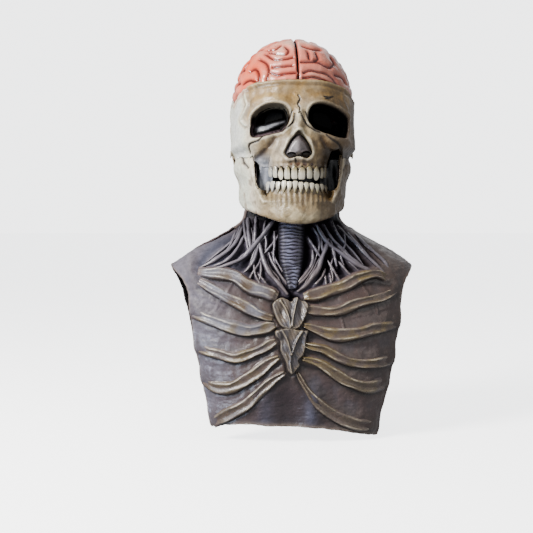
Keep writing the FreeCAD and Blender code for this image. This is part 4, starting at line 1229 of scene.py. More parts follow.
    # The inside is painted near black, as the shade seen through the eye holes.
    obj = shell("skull", out, SKULL_WALL, paint, wet, (0.014, 0.012, 0.011), holes=holes)
    place(obj, "mask", "bone_latex", "skull_shell")


def build_nose():
    def height_of(x, z, inside):
        h = -2.8 + 6.5 * smooth(inside, 0.2, 8) * smooth(z, -10, -30)
        h = h + 1.6 * bump(x, 0, 5) * smooth(z, -49, -40)
        h = h + 1.8 * bump(np.hypot(x / 1.4, z + 37), 0, 7)
        for cx, cz, wx, wz in NOSTRILS:
            far = np.hypot((x - cx) / wx, (z - cz) / wz)
            h = h + 1.2 * bump(far, 1.5, 0.4) - 7.0 * smooth(far, 1.25, 0.3)
        return h - 2.0 * bump(inside, 1.0, 1.0)

    def colour_of(x, z, inside, h):
        relief = h - blurred(h, 2)
        tint = waves(np.stack([x, 0 * x, z], -1), 11, 23, 2)
        paint = painted(
            (0.15, 0.125, 0.125),
            # Painted light on the -X half of the lower nose.
            ((0.46, 0.43, 0.43), smooth(-x, -8, 8) * smooth(z, -18, -30) * 0.9),
            ((0.10, 0.075, 0.065), smooth(tint, 0, 0.9) * 0.35),
            # Painted highlight on the ridges; painted shade in the hollows and at the top.
            ((0.56, 0.53, 0.53), smooth(relief, 0.1, 0.8) * 0.35),
            ((0.03, 0.022, 0.02), smooth(-relief, 0.1, 0.9) * 0.7 + smooth(z, -20, -13) * 0.5))
        # Painted shade: the nostril pits near black.
        holes = np.zeros(x.shape)
        for cx, cz, wx, wz in NOSTRILS:
            far = np.hypot((x - cx) / wx, (z - cz - 0.6) / (wz + 0.7))
            holes = np.maximum(holes, smooth(far, 1.45, 1.0))
        rim = smooth(inside, 1.7, 0.2) * (0.25 + 0.75 * smooth(z, -44, -34))
        paint = mixed(paint, (0.002, 0.001, 0.001), holes)
        paint = mixed(paint, (0.014, 0.01, 0.008), rim)
        return paint, 0.35 - 1.6 * holes

    obj = patch("nose_cartilage", head, [(x * 0.99, z) for x, z in NOSE], height_of, colour_of,
                rings=44, around=130, skirt=1.0)
    place(obj, "mask", "cartilage_latex")


def build_eyes():
    """Fine black mesh stretched across the back of each eye socket."""
    def height_of(x, z, inside):
        return -EYE_DEPTH - 1.0 * smooth(inside, 0, 8)

    def colour_of(x, z, inside, h):
        return np.full((*x.shape, 3), 0.004), 0 * x

    for name, outline in (("right", ORBIT_RIGHT), ("left", ORBIT_LEFT)):
        ring = loop(outline, 80)
        middle = ring.mean(0)
        small = middle + (ring - middle) * 0.66
        obj = patch(f"eye_mesh_{name}", head, small, height_of, colour_of, rings=18, around=72,
                    skirt=EYE_SKIRT)
        place(obj, "mask", "black_mesh")


# ---------------------------------------------------------------- brain
FOLDS = [[(-38, 106), (-25, 103), (-14, 103), (-12, 109.5), (-15, 114)],
         [(-43.5, 104), (-34, 94.8), (-19.5, 93.9), (-6, 96.6)],
         [(-36, 81.9), (-21, 82.8), (-8, 83.7)],
         [(-39, 73.6), (-29, 70), (-17.7, 71.8), (-4, 72.7)],
         [(-52.7, 96.6), (-43.5, 87.4), (-41.6, 78.2), (-45.3, 64)],
         [(-67, 80), (-60, 82), (-56, 74.5), (-57, 60)],
         [(5, 89), (15.5, 90), (32, 90), (41, 85.6), (48.6, 83.7)],
         [(8, 72.7), (15.5, 76.4), (30, 75.4), (45, 72.7), (56, 63.5), (60.6, 54.3)],
         [(8, 65.3), (22.8, 67.2), (39.4, 63.5), (54, 56), (65, 47)],
         [(16.4, 106), (17.3, 94.8)], [(28.4, 105), (30.2, 94.8), (24.7, 92)],
         [(48.6, 83.7), (56, 92), (52, 101)], [(-57, 60), (-70, 66), (-78, 62)],
         [(56, 74), (68, 72), (77, 64)], [(-22, 118), (-30, 112), (-44, 112)],
         [(10, 116), (24, 112), (36, 112)]]
BRAIN_MIDDLE = np.array([0.0, -7.0, 30.0])
BRAIN_RADII = np.array([93.0, 103.0, 107.0])
CUT_RISE = 22.66  # how far the sawn plane climbs over one radius of the brain


def fold_distance(points):
    """Distance to the nearest fold: drawn folds in front, a labyrinth over the rest."""
    x, y, z = (points[..., k] for k in range(3))
    rng = np.random.default_rng(8)
    f = np.zeros(x.shape)
    g = np.zeros(points.shape)
    warp = points + 5.0 * np.stack([waves(points, 40, seed, 1) for seed in (31, 32, 33)], -1)
    for _ in range(26):
        k = rng.normal(size=3)
        k *= 2 * np.pi / (27 + rng.uniform(-3, 3)) / np.linalg.norm(k)
        phase = warp @ k + rng.uniform(0, 6.28)
        f += np.cos(phase)
        g -= np.sin(phase)[..., None] * k
    maze = np.abs(f) / (np.linalg.norm(g, axis=-1) + 0.12)
    drawn = np.full(x.shape, 60.0)
    for points_2d in FOLDS:
        drawn = np.minimum(drawn, off_line(x, z, points_2d, 16))
    share = smooth(y, -58, -40)
    return drawn + (maze - drawn) * share + 6 * share * (1 - share)


def build_brain():
    rows, columns = ((121, 261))
    beta = np.radians(np.linspace(0.8, 84.5, rows))[:, None]
    a = np.hypot(107, CUT_RISE) * np.cos(beta)
    lean = np.arctan(CUT_RISE / 107)
    start = np.arcsin(np.clip(3.0 / a, -1, 0.9))
    t = np.linspace(0, 1, columns)[None, :]
    lam = lean + start + (np.pi - 2 * start) * t
    for name, side in (("left", 1), ("right", -1)):
        unit = np.stack([side * np.sin(beta) * np.ones_like(t), -np.cos(beta) * np.cos(lam),
                         np.cos(beta) * np.sin(lam)], -1)
        g = BRAIN_MIDDLE + unit * BRAIN_RADII
        grid = g if side < 0 else g[:, ::-1]
        n = normals_of(grid)
        if np.dot(n[rows // 2, columns // 2], grid[rows // 2, columns // 2] - BRAIN_MIDDLE) < 0:
            grid = grid[:, ::-1]
            n = normals_of(grid)
        x, y, z = (grid[..., k] for k in range(3))
        far = fold_distance(grid)
        side_of = np.abs(x)
        far = np.minimum(far, 1.2 * side_of + 0.4)
        up = smooth(z, 60, 100) * smooth(z, 140, 118)
        d = 4.6 * (1 - np.exp(-far / 2.3)) - 3.2 + 1.6 * up + 0.25 * waves(grid, 9, 41, 2)
        d -= 2.2 * smooth(side_of, 4, 0)
        rim = smooth(z - cut_plane(y), -6, 7)
        d -= 3.6 * (1 - rim)
        out = grid + n * d[..., None]
        out[..., 0] = np.where(side * out[..., 0] < 0.25, side * 0.25, out[..., 0])
        groove = np.exp(-(far / 1.8) ** 2)
        shade = np.exp(-(far / 4.2) ** 2)
        broad = waves(grid, 50, 43)
        paint = painted(
            (0.82, 0.33, 0.26),
            ((0.98, 0.54, 0.44), smooth(broad, -0.4, 0.8)),
            ((0.86, 0.13, 0.06), smooth(x, -26, -66) * 0.62 * smooth(-x, 90, 70)),
            # Painted shade: the +X side darker.
            ((0.44, 0.20, 0.155), smooth(x, 5, 75) * 0.75),
            ((0.50, 0.09, 0.065), shade * 0.5),
            ((0.11, 0.006, 0.006), groove * 0.95),
            ((0.34, 0.07, 0.05), smooth(side_of, 4.2, 0.3) * 0.9),
            # Painted shade where the brain tucks under the skull's cut rim.
            ((0.26, 0.055, 0.04), (1 - rim) * 0.7))
        wet = 0.35 + 0.4 * smooth(broad, 0, 1)
        place(shell(f"brain_{name}", out, BRAIN_WALL, paint, wet, (0.12, 0.03, 0.025)),
              "mask", "brain_latex")


# ---------------------------------------------------------------- teeth and gums
# Width of a tooth against the way from its root to its tip.
POINTED = [0, 0.08, 0.2, 0.45, 0.68, 0.88, 1], [0.12, 0.4, 0.66, 0.96, 1.0, 0.7, 0.3]
UPPER_TOOTH = [0, 0.06, 0.16, 0.36, 0.6, 0.9, 1], [0.22, 0.55, 0.8, 0.96, 1.0, 0.95, 0.8]
LOWER_TOOTH = [0, 0.12, 0.3, 0.55, 0.75, 0.92, 1], [0.12, 0.34, 0.6, 0.88, 1.0, 0.98, 0.84]


def tooth(x0, x1, half, centre, depth, root, tip, pointed, upper, seed):
    """One tooth between x0 and x1 on its arch, as rings from root to tip."""
    count, around = ((18, 36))
    rng = np.random.default_rng(seed)
    mid = (x0 + x1) / 2
    y0, y1 = arch_y(np.array([x0, x1]), half, centre, depth)
    middle = np.array([mid, arch_y(mid, half, centre, depth)])
    across = np.array([x1 - x0, y1 - y0])
    wide = np.linalg.norm(across) / 2 + 0.3
    across = across / np.linalg.norm(across)
    outward = np.array([across[1], -across[0]])
    psi = np.linspace(0, 2 * np.pi, around, endpoint=False)
    s = np.linspace(0, 1, count)
    profile = POINTED if pointed else UPPER_TOOTH if upper else LOWER_TOOTH
    width = np.interp(s, *profile)
    deep = np.interp(s, [0, 0.4, 0.8, 1], [1.0, 0.95, 0.62, 0.35])
    lean = rng.uniform(-0.6, 0.6)
    wide = wide * rng.uniform(0.88, 1.0)
    rings = np.empty((count, around, 3))
    c, q = np.cos(psi), np.sin(psi)
    sx = np.sign(c) * np.abs(c) ** 0.72
    sy = np.sign(q) * np.abs(q) ** 0.8
    for i in range(count):
        ridge = 1 + 0.05 * np.cos(sx * 7) * (q > 0)
        a = sx * wide * width[i]
        b = sy * 3.3 * deep[i] * ridge + 0.9 * np.sin(s[i] * 2.6)
        xy = middle + np.outer(a, across) + np.outer(b, outward) + lean * s[i] * across
        rings[i, :, :2] = xy
        rings[i, :, 2] = root + (tip - root) * s[i]
    if not pointed:
        rounding = np.abs(sx)[None, :] ** 3 * np.array([0.2, 0.6, 1.0])[:, None]
        rings[-3:, :, 2] += (0.5 if upper else -0.5) * rounding
    s2 = s[:, None] * np.ones((1, around))
    off_middle = np.abs(sx)[None, :] + 0 * s2
    tone = rng.uniform(-0.12, 0.05)
    streak = np.sin(sx * 9 + seed)[None, :] * 0.5 + 0.5
    paint = painted(
        (0.58 + tone, 0.51 + tone, 0.38 + tone),
        ((0.80, 0.75, 0.63), smooth(s2, 0.2, 0.6)),
        ((0.24, 0.18, 0.09), smooth(s2, 0.42, 0.05) * 0.6),
        # Painted shade at each tooth's sides, against its neighbours.
        ((0.03, 0.022, 0.014), smooth(off_middle, 0.74, 0.95) * 0.92),
        ((0.02, 0.014, 0.01), smooth(s2, 0.09, 0.0) * 0.9),
        ((0.40, 0.41, 0.26), rng.uniform(0, 0.35) * (1 - smooth(off_middle, 0.6, 0.8))),
        ((0.30, 0.26, 0.16), streak * 0.2 * smooth(s2, 1.0, 0.3)),
        # Painted shade on the inner face of each tooth.
        ((0.02, 0.015, 0.01), smooth(-q, 0.0, 0.4)[None, :] * np.ones_like(s2) * 0.85),
        # Painted shade on the teeth towards +X and painted light on those towards -X.
        ((0.09, 0.06, 0.04), np.full(s2.shape, 0.7 * smooth(mid, 24, 41))),
        ((0.42, 0.43, 0.46), np.full(s2.shape, 0.5 * smooth(-mid, 22, 40))))
    return tube_part(rings, paint, 0.5 * np.ones(s2.shape))


UPPER_TIPS = [-77.5, -79, -82, -81.5, -81.5, -82, -80.5, -83, -79.5, -78.5]
CANINES = (2, 7)


def build_teeth():
    parts = []
    for i, (x0, x1) in enumerate(zip(UPPER_EDGES[:-1], UPPER_EDGES[1:])):
        root = -62.6 + 1.0 * np.sin(i * 2.2)
        parts.append(tooth(x0 + 0.1, x1 - 0.1, 43.0, -70, 41.8, root, UPPER_TIPS[i], i in CANINES,
                           True, 60 + i))
    place(tubes("upper_teeth", parts), "mask", "tooth_enamel")
    parts = []
    for i, (x0, x1) in enumerate(zip(LOWER_EDGES[:-1], LOWER_EDGES[1:])):
        tip = np.interp((x0 + x1) / 2, [-42, -10, 12, 40], [-84.0, -83.8, -86.0, -88.5])
        tip = tip + 0.7 * np.sin(i * 2.7)
        root = -101 + 1.1 * np.sin(i * 1.9)
        parts.append(tooth(x0 + 0.1, x1 - 0.1, 45.5, -68, 44.4, root, tip, False, False, 90 + i))
    place(tubes("lower_teeth", parts), "jaw", "tooth_enamel")


def build_gums():
    for name, body, half, centre, depth, reach, low, high in (
            ("upper_gum", "mask", 36.0, -72.0, 37.0, 80, -64.5, -50.0),
            ("lower_gum", "jaw", 42.0, -68.0, 41.0, 70, -105.0, -97.0)):
        count, around = ((150, 26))
        a = np.radians(np.linspace(-reach, reach, count))[:, None]
        psi = np.linspace(0, 2 * np.pi, around, endpoint=False)[None, :]
        c, q = np.cos(psi), np.sin(psi)
        out = np.sign(c) * np.abs(c) ** 0.6 * 4.6 - 2.0 + 0 * a
        up = np.sign(q) * np.abs(q) ** 0.6 * (high - low) / 2 + (low + high) / 2 + 0 * a
        up = up + 0.7 * np.sin(a * 34) * np.abs(q)
        rings = np.stack([(half + out) * np.sin(a), centre - (depth + out) * np.cos(a), up], -1)
        shade = waves(rings, 8, 51, 2)
        paint = mixed((0.12, 0.06, 0.04), (0.24, 0.15, 0.10), smooth(shade, -0.5, 0.7))
        # Painted shade on the inner side of the gum.
        paint = mixed(paint, (0.02, 0.01, 0.008), smooth(-c, -0.3, 0.6) + 0 * up)
        place(tubes(name, [tube_part(rings, paint, 0.6 * np.ones(up.shape))]), body, "gum_latex")


# ---------------------------------------------------------------- lower jaw
JAW_HIGH = [(-150, -98), (-100, -98), (-92, -95), (-86, -84), (-81, -58), (-74, -42), (-66, -37),
            (-50, -44), (-36, -43), (-20, -34), (-6, -31), (8, -31), (16, -41)]
JAW_LOW = [(-150, -151), (-118, -147), (-108, -142.5), (-96, -136.5), (-80, -130.5), (-60, -127),
           (-20, -121), (2, -115), (10, -100), (14, -80), (16, -47)]


def build_jaw():
    step = 1
    start, end = jaw_form.share(15.5, -60.0, False), jaw_form.share(15.5, -60.0, True)
    u = uneven(390 // step // 2 * 2 + 1, 0.5)
    columns = start + (end - start) * u
    rows = 116 // step // 2 * 2 + 1
    hy, hz = np.array(JAW_HIGH, float).T
    ly, lz = np.array(JAW_LOW, float).T
    middles = middles_of(LOWER_EDGES)

    def low(x, y):
        return np.interp(y, ly, lz)

    def high(x, y):
        between_teeth = (1 - humps(x, middles, 2.5)) * smooth(np.abs(x), 45, 41) * (y < -60)
        return np.interp(y, hy, hz) + 5.0 * between_teeth

    g = between(jaw_form, columns, low, high, rows)
    x, y, z = g[..., 0], g[..., 1], g[..., 2]
    ax = np.abs(x)
    tall = g[-1:, :, 2] - g[:1, :, 2]
    top, bottom = (np.linspace(a, 1 - a, rows)[:, None] * tall for a in (1, 0))
    lump, grain = waves(g, 26, 61), waves(g, 6.5, 62)
    d = 0.8 * lump + 0.25 * grain
    front = smooth(y, -78, -96)
    d += 3.2 * bump(np.hypot(x / 1.3, z + 131), 0, 13) * front
    for side in (-1, 1):
        d += 1.8 * bump(np.hypot(x - 24 * side, (z + 135)), 0, 9) * front
        d -= 1.6 * bump(np.hypot(x - 40 * side, (z + 122) * 1.3), 0, 9) * front
    d -= 1.8 * bump(z, -117, 7) * bump(x, 0, 26) * front
    slant = off_line(y, z, [(-90, -92), (-74, -106), (-50, -116)], 12)
    d += 2.4 * bump(slant, 0, 7) * smooth(ax, 40, 60)
    d += 1.8 * bump(np.hypot(y + 6, z + 104), 0, 17)
    d -= 2.2 * bump(np.hypot((y + 38) / 22, (z + 72) / 20), 0, 1) * smooth(ax, 60, 75)
    d += 1.6 * bump(bottom, 4.5, 4.5) * (1 - 0.6 * front) + 1.0 * bump(top, 2.5, 3) * (1 - front)
    d += 3.6 * bump(z, -60, 13) * smooth(ax, 66, 80) * smooth(y, -78, -56)
    far_brim = off_line(ax, z, [(70, -46), (67, -66), (63, -84), (57, -100), (51, -114)], 20)
    d += 1.4 * bump(far_brim, 0, 2.4) * (y < -50)
    roots = humps(x, middles, 2.3)
    share = smooth(z, -114, -99) * smooth(ax, 57, 43) * (y < -40)
    target = arch_y(np.clip(x, -45.5, 45.5), 47.0, -68, 45.3) - 1.0 * roots * smooth(z, -118, -104)
    moved = g.copy()
    moved[..., 1] += (target - y) * share
    d += (1.0 * roots - 0.4) * smooth(z, -127, -112) * front * smooth(ax, 48, 40) * (1 - share)
    crack = np.zeros(x.shape)
    for points in ([(-79, -42), (-77, -52), (-71, -63)], [(79, -44), (76, -54), (70, -66)]):
        far = off_line(x, z, points, 10)
        crack = np.maximum(crack, bump(far, 0, 1.7) * (y < -30))
    d -= 1.4 * crack
    n = normals_of(moved)
    out = moved + n * d[..., None]
    narrow = 0.06 * smooth(z, -66, -88) * smooth(ax, 52, 80)
    out[..., 0] *= 1 - (narrow + 0.05 * smooth(z, -92, -140) * smooth(ax, 10, 60))
    relief = d - blurred(d, 4)
    fine = d - blurred(d, 2)
    blotch = waves(g, 17, 65)
    groove = (1 - roots) * smooth(z, -125, -108) * front * smooth(ax, 52, 44)
    slit = crack + bump(top, 0, 1.1) * smooth(ax, 47, 44) * (y < -60)
    paint = painted(
        (0.44, 0.35, 0.23),
        ((0.60, 0.51, 0.36), smooth(lump, -0.3, 0.8)),
        ((0.31, 0.235, 0.135), smooth(blotch, 0.1, 0.9) * 0.5),
        # Painted light: the -X side pale, as if lit from that side.
        ((0.98, 0.92, 0.80), smooth(-x, 46, 78) * 0.78),
        # Painted shade in the hollows, with random blotches, and painted highlight on the ridges,
        # partly the mask's own wash and dry-brushed paint.
        ((0.13, 0.08, 0.04), smooth(-relief, 0.2, 1.7) * 0.8 + smooth(-blotch, 0.5, 1.1) * 0.45),
        ((0.70, 0.65, 0.52), smooth(relief, 0.4, 1.8) * 0.5 + smooth(fine, 0.05, 0.35) * 0.25),
        ((0.09, 0.055, 0.03), groove * 0.6),
        ((0.02, 0.014, 0.01), np.clip(slit, 0, 1) * 0.88),
        # Painted shade towards +X.
        ((0.13, 0.08, 0.038), smooth(x, 6, 56) * 0.82),
        ((0.78, 0.70, 0.54), bump(far_brim, 0, 1.6) * (y < -50) * 0.6),
        ((0.10, 0.06, 0.035), smooth(bottom, 3.0, 0) * 0.7))
    wet = 0.25 + 0.2 * smooth(lump, 0, 1)
    place(shell("lower_jaw", out, JAW_WALL, paint, wet, (0.03, 0.02, 0.018)), "jaw", "jaw_latex")


def build_cheek_webs():
    """Sinewy latex between the cheekbone and the jaw."""
    rows, columns = ((61, 49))
    for name, side in (("right", -1), ("left", 1)):
        u = np.linspace(0, 1, columns)[None, :]
        v = np.linspace(0, 1, rows)[:, None]
        x = side * (36 + 26.5 * u) + 0 * v
        z = -96 + 46 * v + 0 * u
        ripple = 0.5 * np.sin(u * 14 + 3 * v) + 0.4 * np.sin(u * 6 - 8 * v)
        if side < 0:
            y = -81.2 + 2.4 + ripple + 6.0 * smooth(u, 0.66, 0.9) + 4.0 * smooth(v, 0.62, 0.95)
        else:
            y = -81.2 + 14.0 + ripple
        crevice = 0.74 + 0.06 * np.sin(v * 7)
        # The -X web: pale blue-grey as painted light, painted highlight on the ripples and
        # painted shade in the crevice by the jaw.
        paint = painted(
            (0.44, 0.46, 0.52),
            ((0.58, 0.60, 0.66), smooth(ripple, -0.6, 0.8) * 0.7),
            ((0.25, 0.24, 0.24), smooth(v, 0.25, 0.05) * 0.7 + 0 * u),
            ((0.006, 0.005, 0.005), smooth(u, crevice - 0.05, crevice + 0.03)))
        grid = np.stack([x, y, z], -1)
        if side < 0:
            grid, paint = grid[:, ::-1], paint[:, ::-1]
        else:
            # Painted shade: the +X web is painted near black, as the deep shade of that gap.
            paint = np.full(paint.shape, 0.012)
        obj = shell(f"cheek_web_{name}", grid, WEB_WALL, paint, 0.2 * np.ones(paint.shape[:2]),
                    (0.02, 0.02, 0.02))
        place(obj, None, "sinew_latex")
        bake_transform(obj)


# ---------------------------------------------------------------- padding and elastic
def foam_pad(name, body, grid, crown=2.0):
    """A soft foam pad: a crowned slab on the grid, swollen by a cloth simulation."""
    rows, columns = grid.shape[:2]
    n = normals_of(grid)
    r = np.linspace(-1, 1, rows)[:, None]
    c = np.linspace(-1, 1, columns)[None, :]
    dome = np.clip(1 - np.abs(r) ** 4, 0, 1) ** 0.5 * np.clip(1 - np.abs(c) ** 4, 0, 1) ** 0.5
    outer = grid - n * 0.6
    inner = grid - n * (1.2 + (PAD_THICK - crown - 1.2) * (0.35 + 0.65 * dome))[..., None]
    rim = border(rows, columns)
    flat_out, flat_in = outer.reshape(-1, 3), inner.reshape(-1, 3)
    quads = [grid_quads(rows, columns), grid_quads(rows, columns, first=rows * columns)[:, ::-1]]
    after = np.roll(rim, -1)
    quads.append(np.stack([rim, rim + rows * columns, after + rows * columns, after], 1)[:, ::-1])
    obj = make_object(name, np.concatenate([flat_out, flat_in]), np.concatenate(quads))
    bpy.context.view_layer.objects.active = obj
    remesh = obj.modifiers.new("remesh", "REMESH")
    remesh.mode, remesh.voxel_size = "VOXEL", 0.004
    apply_modifiers(obj)
    start = points_of(obj)
    cloth = obj.modifiers.new("cloth", "CLOTH")
    cloth.settings.use_pressure = True
    cloth.settings.uniform_pressure_force = 4
    cloth.settings.effector_weights.gravity = 0
    cloth.settings.mass = 0.3
    scene = bpy.context.scene
    for f in range(1, 21):
        scene.frame_set(f)
    apply_modifiers(obj)
    end = points_of(obj)
    scene.frame_set(1)
    move = end - start
    size = np.linalg.norm(move, axis=1, keepdims=True)
    move *= np.minimum(1, 0.0012 / np.maximum(size, 1e-9))
    obj.data.vertices.foreach_set("co", (start + move).astype(np.float32).ravel())
    obj.data.update()
    sub = obj.modifiers.new("sub", "SUBSURF")
    sub.levels = sub.render_levels = 1
    for poly in obj.data.polygons:
        poly.use_smooth = True
    place(obj, body, "foam")


def points_of(obj):
    co = np.empty(len(obj.data.vertices) * 3, np.float32)
    obj.data.vertices.foreach_get("co", co)
    return co.reshape(-1, 3).astype(float)


def apply_modifiers(obj):
    depsgraph = bpy.context.evaluated_depsgraph_get()
    mesh = bpy.data.meshes.new_from_object(obj.evaluated_get(depsgraph))
    obj.modifiers.clear()
    obj.data = mesh


def pad_grid(form, x_from, x_to, z_from, z_to, front, inset, count=(15, 21)):
    z = np.linspace(z_from, z_to, count[0])[:, None] + np.zeros((1, count[1]))
    x = np.linspace(x_from, x_to, count[1])[None, :] + np.zeros((count[0], 1))
    if not front:
        x = x[:, ::-1]
    return form.point(x, z, front) - form.normal(x, z, front) * inset


def build_pads():
    foam_pad("forehead_pad", "mask", pad_grid(head, -46, 46, 33, 49, True, 4.4))
    foam_pad("nape_pad", "mask", pad_grid(head, -38, 38, -42, 2, False, 4.4))
    foam_pad("chin_pad", "jaw", pad_grid(jaw_form, -30, 30, -131, -109, True, 5.4))
    x = np.linspace(-43, 43, 21)[None, :] + np.zeros((19, 1))
    y = np.linspace(-50, 36, 19)[:, None] + np.zeros((1, 21))
    radii = BRAIN_RADII - 4.9
    z = 30 + radii[2] * np.sqrt(1 - (x / radii[0]) ** 2 - ((y + 7) / radii[1]) ** 2)
    foam_pad("crown_pad", "mask", np.stack([x, y, z], -1))
    for name, side in (("right", -1), ("left", 1)):
        zs = np.linspace(-6, 20, 13)
        ys = np.linspace(-25, 33, 19)
        grid = np.empty((13, 19, 3))
        for i, zz in enumerate(zs):
            for j, yy in enumerate(ys):
                half, near, far, power = head.row(float(zz))
                depth = (-5 - near) if yy < -5 else (far + 5)
                t = min(abs(yy + 5) / depth, 1)
                grid[i, j] = (side * ((half - 4.4) * (1 - t ** power) ** (1 / power)), yy, zz)
        if side < 0:
            grid = grid[:, ::-1]
        foam_pad(f"temple_pad_{name}", "mask", grid)


def build_elastics():
    """Flat elastic from the temple down inside the jaw, which pulls the mouth shut."""
    line = path([(86.8, 14), (85.6, -4), (71.8, -27), (71.6, -62), (69.0, -106)], 60)
    t = unit_of(np.gradient(line, axis=0))
    half_thick = 0.7
    across = np.linspace(-46, -34, 9)
    for name, side in (("right", -1), ("left", 1)):
        rings = []
        for (x, z), (tx, tz) in zip(line, t):
            ox, oz = -tz * half_thick, tx * half_thick
            rings.append([(side * (x + ox), y, z + oz) for y in across]
                         + [(side * (x - ox), y, z - oz) for y in across[::-1]])
        rings = np.array(rings)
        paint = np.full((*rings.shape[:2], 3), 0.03)
        obj = tubes(f"jaw_elastic_{name}", [tube_part(rings, paint, 0 * rings[..., 0])])
        place(obj, None, "elastic")
        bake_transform(obj)


# ---------------------------------------------------------------- back of the bib
SCAPULA = [(38, -222), (120, -205), (135, -222), (104, -262), (72, -312), (52, -300)]
BACK_RIBS = [
    [(24, -262, 6), (52, -268, 7), (58, -272, 5)],
    [(24, -318, 6), (60, -328, 7), (100, -346, 7), (136, -372, 6)],
    [(24, -350, 6), (60, -362, 7), (98, -384, 7), (130, -408, 6)],
    [(24, -382, 6), (58, -396, 7), (90, -418, 7), (110, -434, 6)]]


def build_back():
    for name, side in (("right", -1), ("left", 1)):
        outline = [(side * x, z) for x, z in SCAPULA]

        def height_of(x, z, inside):
            spine_line = off_line(np.abs(x), z, [(50, -262), (86, -236), (128, -214)], 20)
            h = 5.0 * smooth(inside, -0.5, 3) + 1.3 * bump(inside, 2.5, 2.2)
            h = h + 3.2 * bump(spine_line, 0, 4.5) * smooth(inside, 0, 3)
            return h - 1.2 * smooth(inside, 4, 12)

        obj = patch(f"scapula_{name}", torso, outline, height_of, plate_colour, front=False,
                    rings=34, around=120)
        place(obj, "mask", "rib_latex")
        parts = []
        for i, line in enumerate(BACK_RIBS):
            turned = [(side * x, z, w) for x, z, w in line][::-1]
            parts.append(bone_strip(turned, 6.0, 120 + 7 * i + side, front=False, count=72, around=26,
                                    ochre=0.5, fade=(0.14, 0.04)))
        place(tubes(f"back_ribs_{name}", parts), "mask", "rib_latex")
    parts = []
    for i in range(9):
        z0 = -165.0 - 29.0 * i
        count, around = ((22, 56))
        psi = np.linspace(0, 2 * np.pi, around, endpoint=False)[None, :]
        r = np.linspace(0.03, 1, count)[:, None]
        wing = 1 + 0.35 * np.exp(-(np.sin(psi) / 0.45) ** 2)
        x = r * 13.5 * wing * np.cos(psi) * (1 + 0.12 * np.sin(3 * psi + i))
        z = z0 + r * 11.0 * np.sin(psi) * (1 - 0.25 * np.abs(np.cos(psi)))
        h = 6.0 * np.clip(1 - r ** 3, 0, 1) ** 0.6 + 2.6 * bump(x, 0, 3.2) * bump(z, z0 - 3, 7)
        h = h + 0.8 * np.sin(x * 0.9) * (1 - r) - 0.8 + 0 * psi
        base, n = torso.point(x, z, False), torso.normal(x, z, False)
        rings = base + n * h[..., None]
        low = base[-1] - n[-1] * 2.2
        rings = np.concatenate([rings, low[None]])
        share = np.clip(h / 8, 0, 1)
        # Painted shade low round each vertebra and painted highlight on its top.
        paint = mixed(RIB_DARK, RIB_BASE, smooth(share, 0.0, 0.4))
        paint = mixed(paint, RIB_PALE, smooth(share, 0.6, 1.0) * 0.6)
        paint = np.concatenate([paint, paint[-1:]])
        face = np.cross(rings[3, 1] - rings[3, 0], rings[4, 0] - rings[3, 0])
        if np.dot(face, n[3, 0]) < 0:
            rings, paint = rings[:, ::-1], paint[:, ::-1]
        parts.append((rings, paint, 0.25 * np.ones(rings.shape[:2])))
    place(tubes("spine", parts), "mask", "rib_latex")


# ---------------------------------------------------------------- everything
build_skins()
build_ribs()
build_cords()
build_trachea()
build_plates()
build_back()
build_skull()
build_nose()
build_eyes()
build_brain()
build_teeth()
build_gums()
build_jaw()
build_cheek_webs()
build_pads()
build_elastics()
for node, material in (("jaw_pivot_right", PLASTIC), ("jaw_pivot_left", PLASTIC),
                       ("pivot_washer_right", NYLON), ("pivot_washer_left", NYLON)):
    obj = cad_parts[node]
    obj.data.materials.clear()
    obj.data.materials.append(material)

# ---------------------------------------------------------------- floor, lights, camera
FLOOR_Z = -0.4625
SKY_SEEN, SKY_LIGHT, FLOOR_GLOW = 3.8, 0.55, 3.1
WHITE = (0.98, 0.99, 1.0, 1)
floor_mesh = bpy.data.meshes.new("floor")
floor_mesh.from_pydata([(x, y, FLOOR_Z) for x, y in ((-60, -60), (60, -60), (60, 60), (-60, 60))],
                       [], [(0, 1, 2, 3)])
floor = bpy.data.objects.new("floor", floor_mesh)
bpy.context.scene.collection.objects.link(floor)
floor_mesh.materials.append(new_material("floor_paint")[1]({
    "Base Color": (0.8, 0.8, 0.79, 1), "Roughness": 0.9, "Emission Color": WHITE,
    "Emission Strength": FLOOR_GLOW}))
floor.visible_diffuse = floor.visible_glossy = False

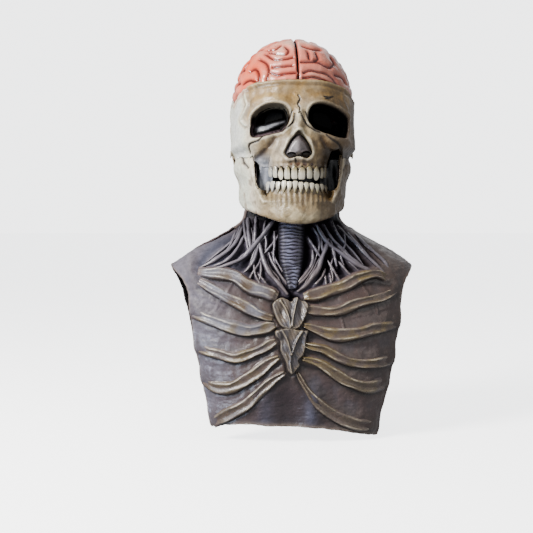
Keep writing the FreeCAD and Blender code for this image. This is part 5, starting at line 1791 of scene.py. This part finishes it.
# The camera sees a bright white room; the mask is lit by a much dimmer one.
world = bpy.data.worlds.new("studio")
bpy.context.scene.world = world
world.use_nodes = True
nodes, links = world.node_tree.nodes, world.node_tree.links
dim, bright = nodes["Background"], nodes.new("ShaderNodeBackground")
dim.inputs[0].default_value, dim.inputs[1].default_value = (0.93, 0.95, 1.0, 1), SKY_LIGHT
bright.inputs[0].default_value, bright.inputs[1].default_value = WHITE, SKY_SEEN
choice, ray = nodes.new("ShaderNodeMixShader"), nodes.new("ShaderNodeLightPath")
links.new(ray.outputs["Is Camera Ray"], choice.inputs[0])
links.new(dim.outputs[0], choice.inputs[1])
links.new(bright.outputs[0], choice.inputs[2])
links.new(choice.outputs[0], nodes["World Output"].inputs[0])


def area_light(name, place_at, aim, size, power, colour):
    data = bpy.data.lights.new(name, "AREA")
    data.shape, data.size, data.energy, data.color = "DISK", size, power, colour
    lamp = bpy.data.objects.new(name, data)
    bpy.context.scene.collection.objects.link(lamp)
    lamp.location = place_at
    lamp.rotation_mode = "QUATERNION"
    lamp.rotation_quaternion = (Vector(aim) - Vector(place_at)).to_track_quat("-Z", "Y")


area_light("key", (-1.5, -1.05, 0.85), (0, 0, -0.1), 0.7, 125, (1.0, 0.97, 0.93))
area_light("cool_side", (-1.5, -0.9, -0.25), (0, 0, -0.25), 0.8, 20, (0.62, 0.76, 1.0))
area_light("fill", (1.4, -1.6, 0.2), (0, 0, -0.15), 1.4, 6, (1.0, 0.97, 0.93))
area_light("back", (0.9, 1.8, 1.4), (0, 0, -0.1), 1.4, 5, (1.0, 1.0, 1.0))

LENS, VIEW_FAR, VIEW_Z = 65.4, 1.5, -0.15
camera_data = bpy.data.cameras.new("camera")
camera_data.sensor_width = 36
camera_data.lens = LENS
camera_data.shift_x, camera_data.shift_y = -0.048, -0.074
camera_data.clip_start, camera_data.clip_end = 0.05, 50
camera = bpy.data.objects.new("camera", camera_data)
bpy.context.scene.collection.objects.link(camera)
turn = np.radians(5.0)
camera.location = (-VIEW_FAR * np.sin(turn), -VIEW_FAR * np.cos(turn), VIEW_Z)
camera.rotation_mode = "QUATERNION"
camera.rotation_quaternion = Vector((np.sin(turn), np.cos(turn), 0)).to_track_quat("-Z", "Y")
bpy.context.scene.camera = camera
